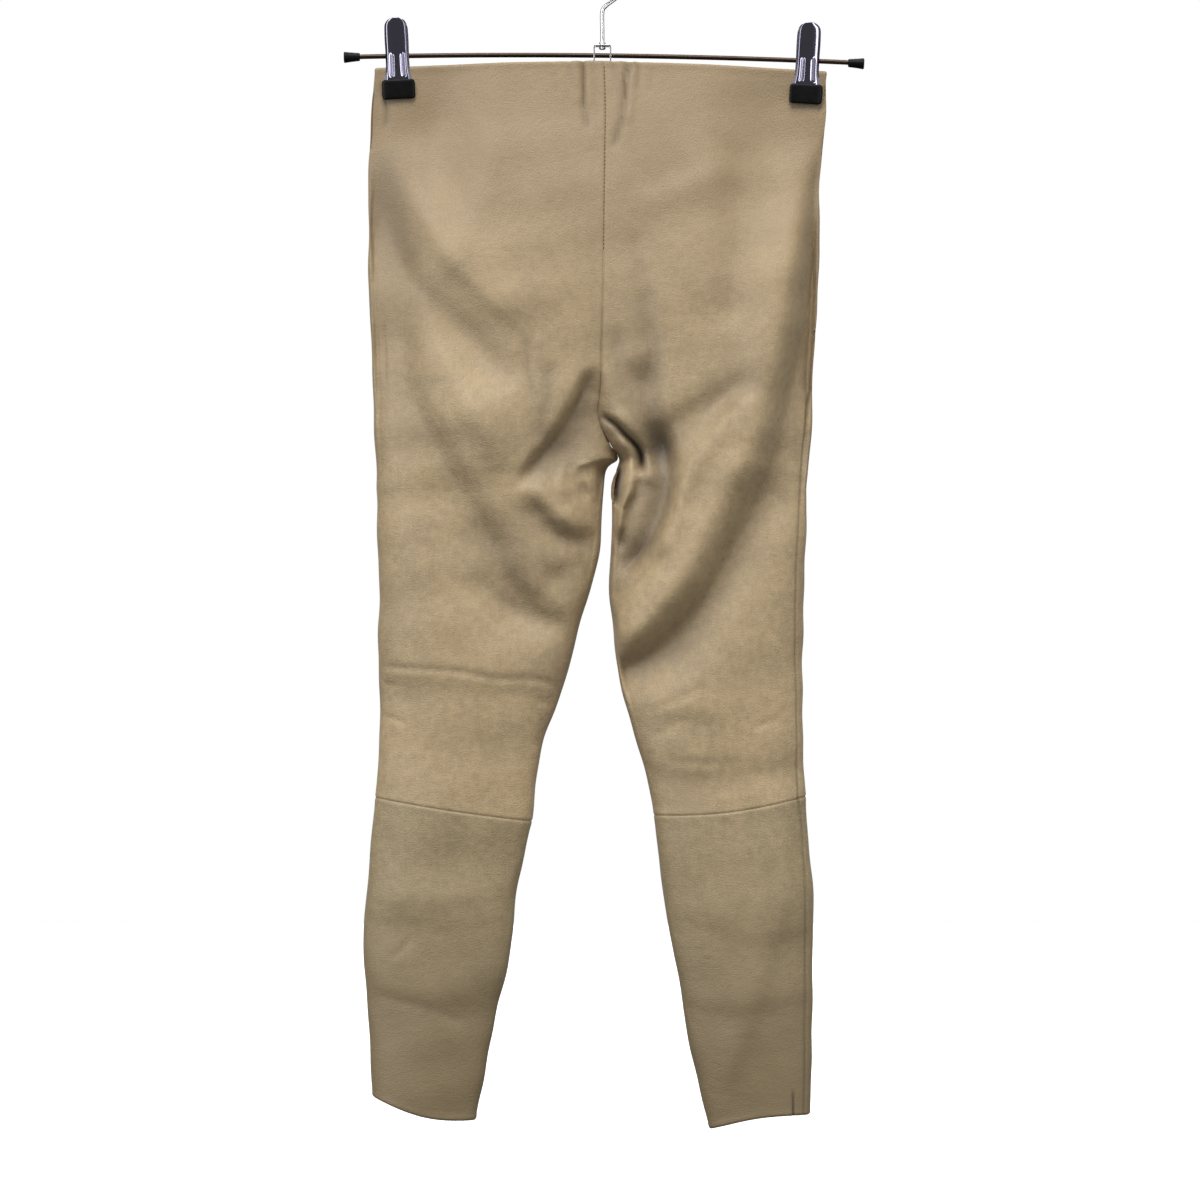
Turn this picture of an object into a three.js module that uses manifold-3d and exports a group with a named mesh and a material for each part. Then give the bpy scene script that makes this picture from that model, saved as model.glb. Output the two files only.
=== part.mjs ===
// Leather trousers hung by the waist from a two-clip hanger, seen from the back.
// Millimetres, +Z up. X runs across the hips to the right of the back view, the back
// faces -Y, and the origin is the inside top of the hook, where a rail carries it.

import * as THREE from 'three';
import { mergeVertices } from 'three/addons/utils/BufferGeometryUtils.js';
import Module from 'manifold-3d';

const wasm = await Module();
wasm.setup();

// Driving dimensions
const WALL = 1.5;              // leather with its turned edges
const SEAM_GAP = 0.3;          // clear space between panels along every seam
const WAIST_BELOW_HOOK = 91.4; // top of the centre back below the origin
const FLAT_DEPTH = 1.9;        // outer face of a layer that lies against its neighbour
const WIRE = 3.8;              // hook wire
const BAR = 4.4;               // clip bar
const HOOK_RADIUS = 20;        // hook, to the middle of the wire
const HIP_ROUNDING = 0.75;     // powers that flatten the faces: 1 would be an ellipse
const LEG_ROUNDING = 0.7;
const CROTCH_ROUNDING = 0.7;   // levels over which the centre seam turns under
const EDGE_FADE = 14;          // folds die out this near to a side seam or inseam
const FOLD_REACH = 2.6;        // widths from its path at which a fold has died out
const FOLD_END = 0.06;         // share of its life that a fold has at either end
const FIT = 0.3;               // clear space between parts of the hanger

const LEATHER = new THREE.MeshStandardMaterial({ color: 0xad9879, roughness: 0.55, metalness: 0 });
const DARK_STEEL = new THREE.MeshStandardMaterial({ color: 0x4a4038, roughness: 0.35, metalness: 0.9 });
const BRIGHT_STEEL = new THREE.MeshStandardMaterial({ color: 0xc9cbcc, roughness: 0.18, metalness: 1 });
const BLACK_RUBBER = new THREE.MeshStandardMaterial({ color: 0x1b1a1a, roughness: 0.7, metalness: 0 });

// Levels of the garment, from the waist to the hem. Drops are measured down from the
// top of the centre back. The inner seam is the centre seam down to the crotch point
// and the inseam below it.
const CROTCH = 7;
const KNEE = 14;
const HEM = 19;

const LEFT = { name: 'left', side: -1, clipX: -183.5, levels: [
  { at: 'waist',        sideX: -204, sideDrop: 6,   innerX: 1,    innerDrop: 0,   bow: -1 },
  { at: 'yoke',         sideX: -209, sideDrop: 51,  innerX: 2,    innerDrop: 48,  bow: 0 },
  { at: 'high hip',     sideX: -211, sideDrop: 125, innerX: 1,    innerDrop: 125, bow: 0 },
  { at: 'hip',          sideX: -210, sideDrop: 215, innerX: 0,    innerDrop: 215, bow: 0 },
  { at: 'seat',         sideX: -207, sideDrop: 291, innerX: -2,   innerDrop: 291, bow: 0 },
  { at: 'low seat',     sideX: -206, sideDrop: 330, innerX: -4,   innerDrop: 320, bow: 0 },
  { at: 'crotch curve', sideX: -205, sideDrop: 352, innerX: 4,    innerDrop: 341, bow: 0 },
  { at: 'crotch point', sideX: -204, sideDrop: 370, innerX: 14,   innerDrop: 357, bow: 0 },
  { at: 'inseam top',   sideX: -204, sideDrop: 384, innerX: 5,    innerDrop: 367, bow: 0 },
  { at: 'upper thigh',  sideX: -203, sideDrop: 403, innerX: 2,    innerDrop: 386, bow: 0 },
  { at: 'thigh',        sideX: -202, sideDrop: 467, innerX: -5,   innerDrop: 441, bow: 0 },
  { at: 'mid thigh',    sideX: -202, sideDrop: 512, innerX: -17,  innerDrop: 495, bow: 0 },
  { at: 'lower thigh',  sideX: -201, sideDrop: 566, innerX: -35,  innerDrop: 557, bow: 0 },
  { at: 'above knee',   sideX: -201, sideDrop: 611, innerX: -55,  innerDrop: 620, bow: 0 },
  { at: 'knee seam',    sideX: -204, sideDrop: 662, innerX: -65,  innerDrop: 683, bow: 1 },
  { at: 'below knee',   sideX: -211, sideDrop: 719, innerX: -75,  innerDrop: 741, bow: 1 },
  { at: 'calf',         sideX: -214, sideDrop: 782, innerX: -86,  innerDrop: 804, bow: 2 },
  { at: 'low calf',     sideX: -213, sideDrop: 845, innerX: -97,  innerDrop: 868, bow: 4 },
  { at: 'ankle',        sideX: -209, sideDrop: 894, innerX: -108, innerDrop: 917, bow: 6 },
  { at: 'hem',          sideX: -205, sideDrop: 931, innerX: -115, innerDrop: 952, bow: 7 },
] };

const RIGHT = { name: 'right', side: 1, clipX: 181.5, levels: [
  { at: 'waist',        sideX: 200, sideDrop: 9,   innerX: 1,  innerDrop: 0,   bow: -1 },
  { at: 'yoke',         sideX: 200, sideDrop: 51,  innerX: 2,  innerDrop: 48,  bow: 0 },
  { at: 'high hip',     sideX: 195, sideDrop: 125, innerX: 1,  innerDrop: 125, bow: 0 },
  { at: 'hip',          sideX: 193, sideDrop: 215, innerX: 0,  innerDrop: 215, bow: 0 },
  { at: 'seat',         sideX: 189, sideDrop: 291, innerX: -2, innerDrop: 291, bow: 0 },
  { at: 'low seat',     sideX: 187, sideDrop: 330, innerX: -4, innerDrop: 320, bow: 0 },
  { at: 'crotch curve', sideX: 186, sideDrop: 352, innerX: 4,  innerDrop: 341, bow: 0 },
  { at: 'crotch point', sideX: 185, sideDrop: 370, innerX: 14, innerDrop: 357, bow: 0 },
  { at: 'inseam top',   sideX: 184, sideDrop: 384, innerX: 11, innerDrop: 368, bow: 0 },
  { at: 'upper thigh',  sideX: 184, sideDrop: 403, innerX: 7,  innerDrop: 388, bow: 0 },
  { at: 'thigh',        sideX: 181, sideDrop: 467, innerX: 9,  innerDrop: 441, bow: 0 },
  { at: 'mid thigh',    sideX: 180, sideDrop: 512, innerX: 6,  innerDrop: 489, bow: 0 },
  { at: 'lower thigh',  sideX: 179, sideDrop: 566, innerX: 14, innerDrop: 550, bow: 1 },
  { at: 'above knee',   sideX: 180, sideDrop: 611, innerX: 32, innerDrop: 618, bow: 3 },
  { at: 'knee seam',    sideX: 182, sideDrop: 661, innerX: 46, innerDrop: 678, bow: 5 },
  { at: 'below knee',   sideX: 187, sideDrop: 714, innerX: 53, innerDrop: 737, bow: 4 },
  { at: 'calf',         sideX: 189, sideDrop: 777, innerX: 62, innerDrop: 795, bow: 2 },
  { at: 'low calf',     sideX: 189, sideDrop: 845, innerX: 74, innerDrop: 863, bow: 0 },
  { at: 'ankle',        sideX: 187, sideDrop: 899, innerX: 85, innerDrop: 915, bow: -2 },
  { at: 'hem',          sideX: 186, sideDrop: 947, innerX: 96, innerDrop: 960, bow: -4 },
] };

// How far the outer faces stand from the plane of the side seams at each level:
// at the inner seam and in the middle of the half. Open is 1 where a half ends at the
// centre seam and 0 where it closes into a leg.
const DEPTHS = [
  { backInner: 9,  backMiddle: 0,  frontInner: 7,  frontMiddle: 0,  open: 1 },
  { backInner: 17, backMiddle: 2,  frontInner: 14, frontMiddle: 2,  open: 1 },
  { backInner: 28, backMiddle: 4,  frontInner: 23, frontMiddle: 3,  open: 1 },
  { backInner: 34, backMiddle: 8,  frontInner: 29, frontMiddle: 6,  open: 1 },
  { backInner: 31, backMiddle: 17, frontInner: 28, frontMiddle: 13, open: 0.85 },
  { backInner: 25, backMiddle: 26, frontInner: 23, frontMiddle: 20, open: 0.6 },
  { backInner: 17, backMiddle: 32, frontInner: 17, frontMiddle: 26, open: 0.45 },
  { backInner: 0,  backMiddle: 43, frontInner: 0,  frontMiddle: 37, open: 0.3 },
  { backInner: 0,  backMiddle: 43, frontInner: 0,  frontMiddle: 37, open: 0.15 },
  { backInner: 0,  backMiddle: 42, frontInner: 0,  frontMiddle: 37, open: 0 },
  { backInner: 0,  backMiddle: 40, frontInner: 0,  frontMiddle: 37, open: 0 },
  { backInner: 0,  backMiddle: 38, frontInner: 0,  frontMiddle: 35, open: 0 },
  { backInner: 0,  backMiddle: 34, frontInner: 0,  frontMiddle: 32, open: 0 },
  { backInner: 0,  backMiddle: 31, frontInner: 0,  frontMiddle: 29, open: 0 },
  { backInner: 0,  backMiddle: 29, frontInner: 0,  frontMiddle: 28, open: 0 },
  { backInner: 0,  backMiddle: 27, frontInner: 0,  frontMiddle: 26, open: 0 },
  { backInner: 0,  backMiddle: 25, frontInner: 0,  frontMiddle: 25, open: 0 },
  { backInner: 0,  backMiddle: 23, frontInner: 0,  frontMiddle: 23, open: 0 },
  { backInner: 0,  backMiddle: 20, frontInner: 0,  frontMiddle: 20, open: 0 },
  { backInner: 0,  backMiddle: 18, frontInner: 0,  frontMiddle: 18, open: 0 },
];

// The centre front is cut a little lower at the waist and hangs straighter than the back.
const CENTRE_FRONT = [
  { innerX: 1, innerDrop: 13 },
  { innerX: 1, innerDrop: 55 },
  { innerX: 1, innerDrop: 127 },
  { innerX: 0, innerDrop: 216 },
  { innerX: 0, innerDrop: 292 },
  { innerX: 2, innerDrop: 323 },
  { innerX: 6, innerDrop: 343 },
];

// Main folds. Each follows a path of [x, drop] points; rise is its height at the crest,
// or below zero the depth of a trough, and it fades over the widths given for the left
// and the right of the path as one walks along it.
const BACK_FOLDS = [
  { name: 'left hip trough', rise: -8, left: 16, right: 22,
    path: [[-196, 70], [-176, 120], [-150, 176], [-102, 225], [-88, 265]] },
  { name: 'left hip crest', rise: 5, left: 18, right: 12,
    path: [[-194, 72], [-172, 115], [-144, 172], [-115, 208]] },
  { name: 'left thigh crest', rise: 6, left: 16, right: 16,
    path: [[-166, 220], [-129, 280], [-112, 320], [-103, 365]] },
  { name: 'left thigh trough', rise: -9, left: 18, right: 22,
    path: [[-178, 240], [-152, 315], [-120, 385], [-101, 440], [-64, 478]] },
  { name: 'crotch bow inner trough', rise: -6, left: 12, right: 12,
    path: [[-57, 405], [-46, 420], [-24, 426], [-3, 422]] },
  { name: 'crotch bow crest', rise: 4, left: 12, right: 12,
    path: [[-24, 398], [-25, 376], [-12, 364], [2, 366]] },
  { name: 'crotch drag trough', rise: -7, left: 12, right: 15,
    path: [[-16, 311], [-34, 335], [-57, 366]] },
  { name: 'knee bow trough', rise: -6, left: 11, right: 11,
    path: [[-110, 469], [-95, 486], [-63, 501], [-36, 505]] },
  { name: 'right hip crest', rise: 9, left: 26, right: 11,
    path: [[188, 80], [166, 160], [150, 240], [132, 300], [108, 366], [80, 430], [52, 490], [34, 524]] },
  { name: 'right hip trough', rise: -10, left: 16, right: 26,
    path: [[186, 210], [168, 290], [150, 350], [130, 400], [104, 455], [70, 512], [44, 545]] },
  { name: 'seat fold', rise: -7, left: 11, right: 16,
    path: [[124, 297], [79, 314], [58, 330]] },
  { name: 'right inner trough', rise: -9, left: 17, right: 15,
    path: [[32, 312], [46, 338], [60, 372], [54, 418], [40, 446], [12, 478]] },
  { name: 'right inner crest', rise: 6, left: 12, right: 12,
    path: [[16, 334], [27, 358], [31, 384], [22, 412], [14, 446], [10, 474]] },
  { name: 'left knee wave', rise: -4, left: 10, right: 10,
    path: [[-196, 545], [-146, 546], [-96, 555], [-42, 560]] },
  { name: 'right knee wave', rise: -4, left: 12, right: 12,
    path: [[34, 586], [74, 568], [104, 560]] },
  { name: 'left calf wave', rise: -4, left: 14, right: 18,
    path: [[-206, 778], [-140, 784], [-82, 775]] },
  { name: 'right calf crest', rise: 5, left: 14, right: 14,
    path: [[164, 686], [156, 765], [140, 825], [126, 880]] },
];

const FRONT_FOLDS = [
  { name: 'left hip drag', rise: -7, left: 18, right: 18,
    path: [[-186, 90], [-150, 168], [-96, 246], [-40, 306]] },
  { name: 'right hip drag', rise: -8, left: 18, right: 16,
    path: [[180, 96], [146, 176], [90, 262], [38, 318]] },
  { name: 'left groin crease', rise: -7, left: 12, right: 12,
    path: [[-8, 330], [-60, 322], [-118, 296]] },
  { name: 'right groin crease', rise: -6, left: 12, right: 12,
    path: [[22, 332], [70, 320], [120, 288]] },
  { name: 'left thigh drag', rise: -7, left: 20, right: 20,
    path: [[-170, 300], [-132, 390], [-96, 450], [-60, 480]] },
  { name: 'right thigh drag', rise: -7, left: 20, right: 20,
    path: [[160, 320], [122, 404], [88, 462], [52, 500]] },
  { name: 'left knee wave', rise: -4, left: 12, right: 12,
    path: [[-190, 588], [-130, 598], [-72, 584]] },
  { name: 'right knee wave', rise: -4, left: 12, right: 12,
    path: [[168, 594], [110, 604], [56, 590]] },
  { name: 'left ankle wave', rise: -3, left: 14, right: 14,
    path: [[-202, 862], [-150, 876], [-104, 866]] },
  { name: 'right ankle wave', rise: -3, left: 14, right: 14,
    path: [[180, 872], [130, 884], [84, 872]] },
];

// Each clip presses both layers flat over this area; past it the hold fades away.
const CLIP_HOLD = { halfWidth: 26, drop: 46, fadeWidth: 50, fadeDrop: 70 };

// Facets: the visible back is finer than the front
const BACK = { name: 'back', facing: -1, folds: BACK_FOLDS, columns: 14, step: 24 };
const FRONT = { name: 'front', facing: 1, folds: FRONT_FOLDS, columns: 10, step: 34 };

// Small helpers
const smooth = (value) => {
  const k = THREE.MathUtils.clamp(value, 0, 1);
  return k * k * (3 - 2 * k);
};

function catmullRom(a, b, c, d, k) {
  const bend = (2 * a - 5 * b + 4 * c - d) * k * k;
  const twist = (3 * b - a - 3 * c + d) * k * k * k;
  return 0.5 * (2 * b + (c - a) * k + bend + twist);
}

// A column of a level table, read between its rows
function readColumn(rows, column, level) {
  const last = rows.length - 1;
  const start = Math.min(Math.floor(level), last - 1);
  const at = (index) => rows[THREE.MathUtils.clamp(index, 0, last)][column];
  return catmullRom(at(start - 1), at(start), at(start + 1), at(start + 2), level - start);
}

// Fold paths are followed as short straight pieces of a smooth curve
const PATH_PIECES = 14;
for (const fold of [...BACK_FOLDS, ...FRONT_FOLDS]) {
  const points = fold.path.map(([x, drop]) => new THREE.Vector2(x, drop));
  fold.line = new THREE.SplineCurve(points).getPoints(PATH_PIECES);
  fold.reach = FOLD_REACH * Math.max(fold.left, fold.right);
  fold.box = new THREE.Box2().setFromPoints(fold.line).expandByScalar(fold.reach);
}

// Height that one fold adds at a place on the cloth
function foldHeight(fold, x, drop) {
  if (!fold.box.containsPoint(new THREE.Vector2(x, drop))) return 0;
  let nearest = Infinity;
  let along = 0;
  let across = 0;
  for (let index = 0; index < PATH_PIECES; index += 1) {
    const from = fold.line[index];
    const run = fold.line[index + 1].clone().sub(from);
    const offsetX = x - from.x;
    const offsetDrop = drop - from.y;
    const share = THREE.MathUtils.clamp((offsetX * run.x + offsetDrop * run.y) / run.lengthSq(), 0, 1);
    const distance = Math.hypot(offsetX - share * run.x, offsetDrop - share * run.y);
    if (distance < nearest) {
      nearest = distance;
      along = (index + share) / PATH_PIECES;
      across = run.x * offsetDrop - run.y * offsetX;
    }
  }
  if (nearest > fold.reach) return 0;
  const width = across > 0 ? fold.right : fold.left;
  const taper = Math.sqrt(Math.sin(Math.PI * THREE.MathUtils.lerp(FOLD_END, 1 - FOLD_END, along)));
  return fold.rise * taper * Math.exp(-((nearest / width) ** 2));
}

// How much of a clip's hold is felt at a place, from 0 to 1
function clipHold(half, x, drop) {
  const sideways = (Math.abs(x - half.clipX) - CLIP_HOLD.halfWidth) / CLIP_HOLD.fadeWidth;
  const down = (drop - CLIP_HOLD.drop) / CLIP_HOLD.fadeDrop;
  return 1 - smooth(Math.hypot(Math.max(0, sideways), Math.max(0, down)));
}

// A point of a panel's outer face. Across runs from 0 at the inner seam to 1 at the
// side seam, and level runs down the table of levels.
function outerPoint(half, face, across, level) {
  const row = (column) => readColumn(half.levels, column, level);
  const depth = (column) => Math.max(0, readColumn(DEPTHS, face.name + column, level));
  const open = THREE.MathUtils.clamp(readColumn(DEPTHS, 'open', level), 0, 1);
  let innerX = row('innerX');
  let innerDrop = row('innerDrop');
  if (face === FRONT && level < CROTCH) {
    const centre = [...CENTRE_FRONT, half.levels[CROTCH], half.levels[CROTCH + 1]];
    innerX = readColumn(centre, 'innerX', level);
    innerDrop = readColumn(centre, 'innerDrop', level);
  }
  const turn = Math.PI * across;
  const reach = open * Math.sin(turn / 2) + (1 - open) * (1 - Math.cos(turn)) / 2;
  const x = THREE.MathUtils.lerp(innerX, row('sideX'), reach);
  const bow = row('bow') * Math.sin(Math.PI * reach);
  const drop = THREE.MathUtils.lerp(innerDrop, row('sideDrop'), reach) + bow;

  let stand = depth('Inner') * Math.cos(turn / 2) ** HIP_ROUNDING
    + depth('Middle') * Math.max(0, Math.sin(turn)) ** LEG_ROUNDING;
  const sideways = Math.abs(row('sideX') - x);
  const inwards = level > CROTCH ? Math.abs(x - innerX) : Infinity;
  const edge = Math.min(sideways, inwards);
  const folds = face.folds.reduce((sum, fold) => sum + foldHeight(fold, x, drop), 0);
  stand += folds * smooth(edge / EDGE_FADE);
  stand = THREE.MathUtils.lerp(stand, FLAT_DEPTH, clipHold(half, x, drop));
  const least = SEAM_GAP / 2 + (FLAT_DEPTH - SEAM_GAP / 2) * Math.min(1, edge / WALL);
  stand = Math.max(stand, least);
  if (across === 0 && level <= CROTCH) {
    stand = Math.max(SEAM_GAP / 2, stand * smooth((CROTCH - level) / CROTCH_ROUNDING));
  }
  if (across === 1 || (level >= CROTCH && across === 0)) stand = SEAM_GAP / 2;
  return new THREE.Vector3(x, face.facing * stand, -WAIST_BELOW_HOOK - drop);
}

// Direction from the outer face to the inner face of the wall
const ACROSS_STEP = 0.03;
const LEVEL_STEP = 0.12;
function inward(half, face, across, level) {
  const before = Math.max(level - LEVEL_STEP, 0);
  const after = Math.min(level + LEVEL_STEP, HEM);
  const down = outerPoint(half, face, across, after).sub(outerPoint(half, face, across, before));
  const intoLeg = new THREE.Vector3(-half.side, 0, 0);
  if (across === 1) return intoLeg.addScaledVector(down, -intoLeg.dot(down) / down.lengthSq()).setY(0).normalize();
  if (across === 0 && level > CROTCH) {
    const below = outerPoint(half, face, 0, after).sub(outerPoint(half, face, 0, Math.max(before, CROTCH)));
    return new THREE.Vector3(-below.z, 0, below.x).setY(0).multiplyScalar(half.side).normalize();
  }
  if (across === 0) {
    const seam = outerPoint(half, face, 0, Math.min(after, CROTCH)).sub(outerPoint(half, face, 0, before));
    return new THREE.Vector3(0, seam.z, -seam.y).multiplyScalar(face.facing).normalize();
  }
  const near = outerPoint(half, face, Math.max(across - ACROSS_STEP, 0), level);
  const far = outerPoint(half, face, Math.min(across + ACROSS_STEP, 1), level);
  return far.sub(near).cross(down).multiplyScalar(-half.side * face.facing).normalize();
}

// Levels between two seams, close enough together for the face's step
function levelSteps(half, face, from, to) {
  const steps = [];
  for (let level = from; level < to; level += 1) {
    const rise = half.levels[level + 1].sideDrop - half.levels[level].sideDrop;
    const parts = Math.max(1, Math.round(rise / face.step));
    for (let part = 0; part < parts; part += 1) steps.push(level + part / parts);
  }
  return [...steps, to];
}

// A closed wall between two grids of points of the same size
function wallBetween(outer, inner, flip) {
  const rows = outer.length;
  const columns = outer[0].length;
  const positions = [...outer.flat(), ...inner.flat()].flatMap((point) => point.toArray());
  const out = (row, column) => row * columns + column;
  const into = (row, column) => rows * columns + out(row, column);
  const faces = [];
  const quad = (a, b, c, d) => faces.push(...(flip ? [a, c, b, a, d, c] : [a, b, c, a, c, d]));
  for (let row = 0; row < rows - 1; row += 1) {
    for (let column = 0; column < columns - 1; column += 1) {
      quad(out(row, column), out(row + 1, column), out(row + 1, column + 1), out(row, column + 1));
      quad(into(row, column), into(row, column + 1), into(row + 1, column + 1), into(row + 1, column));
    }
    const end = columns - 1;
    quad(out(row, 0), into(row, 0), into(row + 1, 0), out(row + 1, 0));
    quad(out(row, end), out(row + 1, end), into(row + 1, end), into(row, end));
  }
  const foot = rows - 1;
  for (let column = 0; column < columns - 1; column += 1) {
    quad(out(0, column), out(0, column + 1), into(0, column + 1), into(0, column));
    quad(out(foot, column), into(foot, column), into(foot, column + 1), out(foot, column + 1));
  }
  const geometry = new THREE.BufferGeometry();
  geometry.setAttribute('position', new THREE.Float32BufferAttribute(positions, 3));
  geometry.setIndex(faces);
  return geometry;
}

// One panel of leather, with half of the seam gap taken off each of its seams
function panel(half, face, from, to) {
  const outer = [];
  const inner = [];
  for (const level of levelSteps(half, face, from, to)) {
    const outerRow = [];
    const innerRow = [];
    for (let column = 0; column <= face.columns; column += 1) {
      const across = column / face.columns;
      const point = outerPoint(half, face, across, level);
      const behind = point.clone().addScaledVector(inward(half, face, across, level), WALL);
      const shared = across === 0 && level >= CROTCH;
      const nearest = across === 1 || shared ? SEAM_GAP / 2 : SEAM_GAP;
      behind.y = face.facing * Math.max(nearest, behind.y * face.facing);
      const shift = new THREE.Vector3();
      if (across === 0 && level <= CROTCH) shift.x = half.side * SEAM_GAP / 2;
      if (level === KNEE) shift.z = (from === KNEE ? -1 : 1) * SEAM_GAP / 2;
      outerRow.push(point.add(shift));
      innerRow.push(behind.add(shift));
    }
    outer.push(outerRow);
    inner.push(innerRow);
  }
  return wallBetween(outer, inner, half.side * face.facing > 0);
}

const trousers = new THREE.Group();
for (const half of [LEFT, RIGHT]) {
  for (const face of [BACK, FRONT]) {
    for (const [piece, from, to] of [['thigh', 0, KNEE], ['calf', KNEE, HEM]]) {
      const mesh = new THREE.Mesh(panel(half, face, from, to), LEATHER);
      mesh.name = `${face.name}_${half.name}_${piece}`;
      trousers.add(mesh);
    }
  }
}

// Hanger. The bar is bowed up a little in the middle and hangs lower at the right.
const BAR_LEFT = new THREE.Vector3(-229.5, 0, -87.3);
const BAR_MIDDLE = new THREE.Vector3(-2.7, 0, -86);
const BAR_RIGHT = new THREE.Vector3(231.3, 0, -92.7);
const BAR_BORE = BAR / 2 + FIT;
const CAP = { length: 14.4, innerRadius: 3.7, outerRadius: 5.1, boreDepth: 11, rounding: 1.2 };
const STEM = { x: -0.6, foot: -80.6, top: -46.8 };
const BRACKET = { width: 16.2, depth: 9, top: -76.6, foot: -92.5, thick: 1.4 };
const PEEN = { radius: 3, height: 2.7 };
const HOOK_TIP = 205;          // degrees round the hook, from +X over the top
const HOOK_ROOT = -55;
const HOOK_TURN = 20;          // degrees between the points of the ring
const HOOK_BEND = { x: 3, z: -41 };

// One pressed jaw of a clip, from the finger grip down to the tongue in its rubber pad.
// Heights are from the bar's axis, stand is how far the face is from the cloth's plane.
const JAW_ROWS = [
  { height: 33.6,  stand: 12.4, halfWidth: 4.5,  rib: 0 },
  { height: 31.6,  stand: 12,   halfWidth: 8,    rib: 0 },
  { height: 27,    stand: 11.2, halfWidth: 10.1, rib: 0 },
  { height: 12,    stand: 8.5,  halfWidth: 10.6, rib: 0 },
  { height: 3,     stand: 6.9,  halfWidth: 10.4, rib: 0.9 },
  { height: -14,   stand: 5.6,  halfWidth: 10.8, rib: 0.9 },
  { height: -21,   stand: 4.9,  halfWidth: 12.1, rib: 0 },
  { height: -36,   stand: 4.9,  halfWidth: 12.1, rib: 0 },
];
const JAW_COLUMNS = [
  { share: -1, rib: 0 }, { share: -0.62, rib: 0 }, { share: -0.42, rib: 1 }, { share: -0.2, rib: 0 },
  { share: 0.2, rib: 0 }, { share: 0.42, rib: 1 }, { share: 0.62, rib: 0 }, { share: 1, rib: 0 },
];
const JAW_THICK = 1;
const PAD = { halfWidth: 14.9, top: -21.6, foot: -39.2, inside: FLAT_DEPTH + FIT, thick: 4.6 };
const EAR = { bore: 2.85, radius: 4.4, thick: 1, nearX: 8.6, farX: 7.2, rootHigh: -6.9, rootLow: -5.9, halfRoot: 5.5 };
const SPRING = { radius: 4, halfLength: 5.5 };
const CLIPS = [
  { name: 'left', x: -185.1, lean: -2.6 },
  { name: 'right', x: 184.1, lean: 3.2 },
];

// A geometry as a solid that can be cut or joined, and back again
function solidOf(geometry) {
  const bare = new THREE.BufferGeometry();
  bare.setAttribute('position', geometry.getAttribute('position'));
  if (geometry.index) bare.setIndex(geometry.index);
  const merged = mergeVertices(bare, 1e-4);
  return new wasm.Manifold(new wasm.Mesh({
    numProp: 3,
    vertProperties: new Float32Array(merged.getAttribute('position').array),
    triVerts: new Uint32Array(merged.index.array),
  }));
}

function geometryOf(solid) {
  const { vertProperties, triVerts } = solid.getMesh();
  const geometry = new THREE.BufferGeometry();
  geometry.setAttribute('position', new THREE.Float32BufferAttribute(vertProperties, 3));
  geometry.setIndex([...triVerts]);
  return geometry;
}

const circle = (radius) => new THREE.Shape().absarc(0, 0, radius, 0, 2 * Math.PI);
const plain = (depth, curveSegments) => ({ depth, curveSegments, bevelEnabled: false });

// A round bar from one end of a curve to the other
const rodAlong = (path, diameter, steps, sides) => new THREE.ExtrudeGeometry(
  circle(diameter / 2),
  { steps, curveSegments: sides / 2, bevelEnabled: false, extrudePath: path },
);

// A piece turned about Z, from [radius, height] points
const turned = (profile, sides) => new THREE.LatheGeometry(
  profile.map(([radius, height]) => new THREE.Vector2(radius, height)),
  sides,
).rotateX(Math.PI / 2);

// A round pin along X through the middle, for bores
const pinAlongX = (radius, length) => new THREE.CylinderGeometry(radius, radius, length, 12).rotateZ(Math.PI / 2);

const slab = (width, depth, height, x, y, z) => new THREE.BoxGeometry(width, depth, height).translate(x, y, z);

function add(group, name, geometry, material) {
  const mesh = new THREE.Mesh(geometry, material);
  mesh.name = name;
  group.add(mesh);
  return mesh;
}

// The bar bends evenly through its three points
const BAR_LINE = new THREE.QuadraticBezierCurve3(
  BAR_LEFT,
  BAR_MIDDLE.clone().multiplyScalar(2).addScaledVector(BAR_LEFT.clone().add(BAR_RIGHT), -0.5),
  BAR_RIGHT,
);
const barAt = (x) => BAR_LINE.getPoint((x - BAR_LEFT.x) / (BAR_RIGHT.x - BAR_LEFT.x));

const hanger = new THREE.Group();
add(hanger, 'hanger_bar', rodAlong(BAR_LINE, BAR, 12, 10), DARK_STEEL);

// Black end caps, pushed on and a little wider at their outer ends
const capProfile = [
  [0, CAP.boreDepth], [BAR_BORE, CAP.boreDepth], [BAR_BORE, 0], [CAP.innerRadius, 0],
  [CAP.outerRadius, CAP.length - CAP.rounding], [CAP.outerRadius - CAP.rounding, CAP.length], [0, CAP.length],
];
for (const [name, end, share, outwards] of [['left', BAR_LEFT, 0, -1], ['right', BAR_RIGHT, 1, 1]]) {
  const axis = BAR_LINE.getTangent(share).multiplyScalar(outwards);
  const cap = add(hanger, `bar_cap_${name}`, turned(capProfile, 12), BLACK_RUBBER);
  cap.quaternion.setFromUnitVectors(new THREE.Vector3(0, 0, 1), axis);
  cap.position.copy(end).addScaledVector(axis, FIT - CAP.boreDepth);
}

// A thin bracket bent over the bar, with bores for the bar and the hook's stem
function bracket() {
  const { width, depth, top, foot, thick } = BRACKET;
  const middle = (top + foot) / 2;
  const block = solidOf(slab(width, depth, top - foot, STEM.x, 0, middle));
  const inside = solidOf(slab(width - 2 * thick, depth + 2, top - foot, STEM.x, 0, middle - thick));
  const barBore = solidOf(pinAlongX(BAR_BORE, width + 4).translate(STEM.x, 0, barAt(STEM.x).z));
  const stemBore = solidOf(new THREE.CylinderGeometry(WIRE / 2 + FIT, WIRE / 2 + FIT, 4, 12)
    .rotateX(Math.PI / 2).translate(STEM.x, 0, top));
  return geometryOf(block.subtract(inside).subtract(barBore).subtract(stemBore));
}
add(hanger, 'hook_bracket', bracket(), DARK_STEEL);

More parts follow.
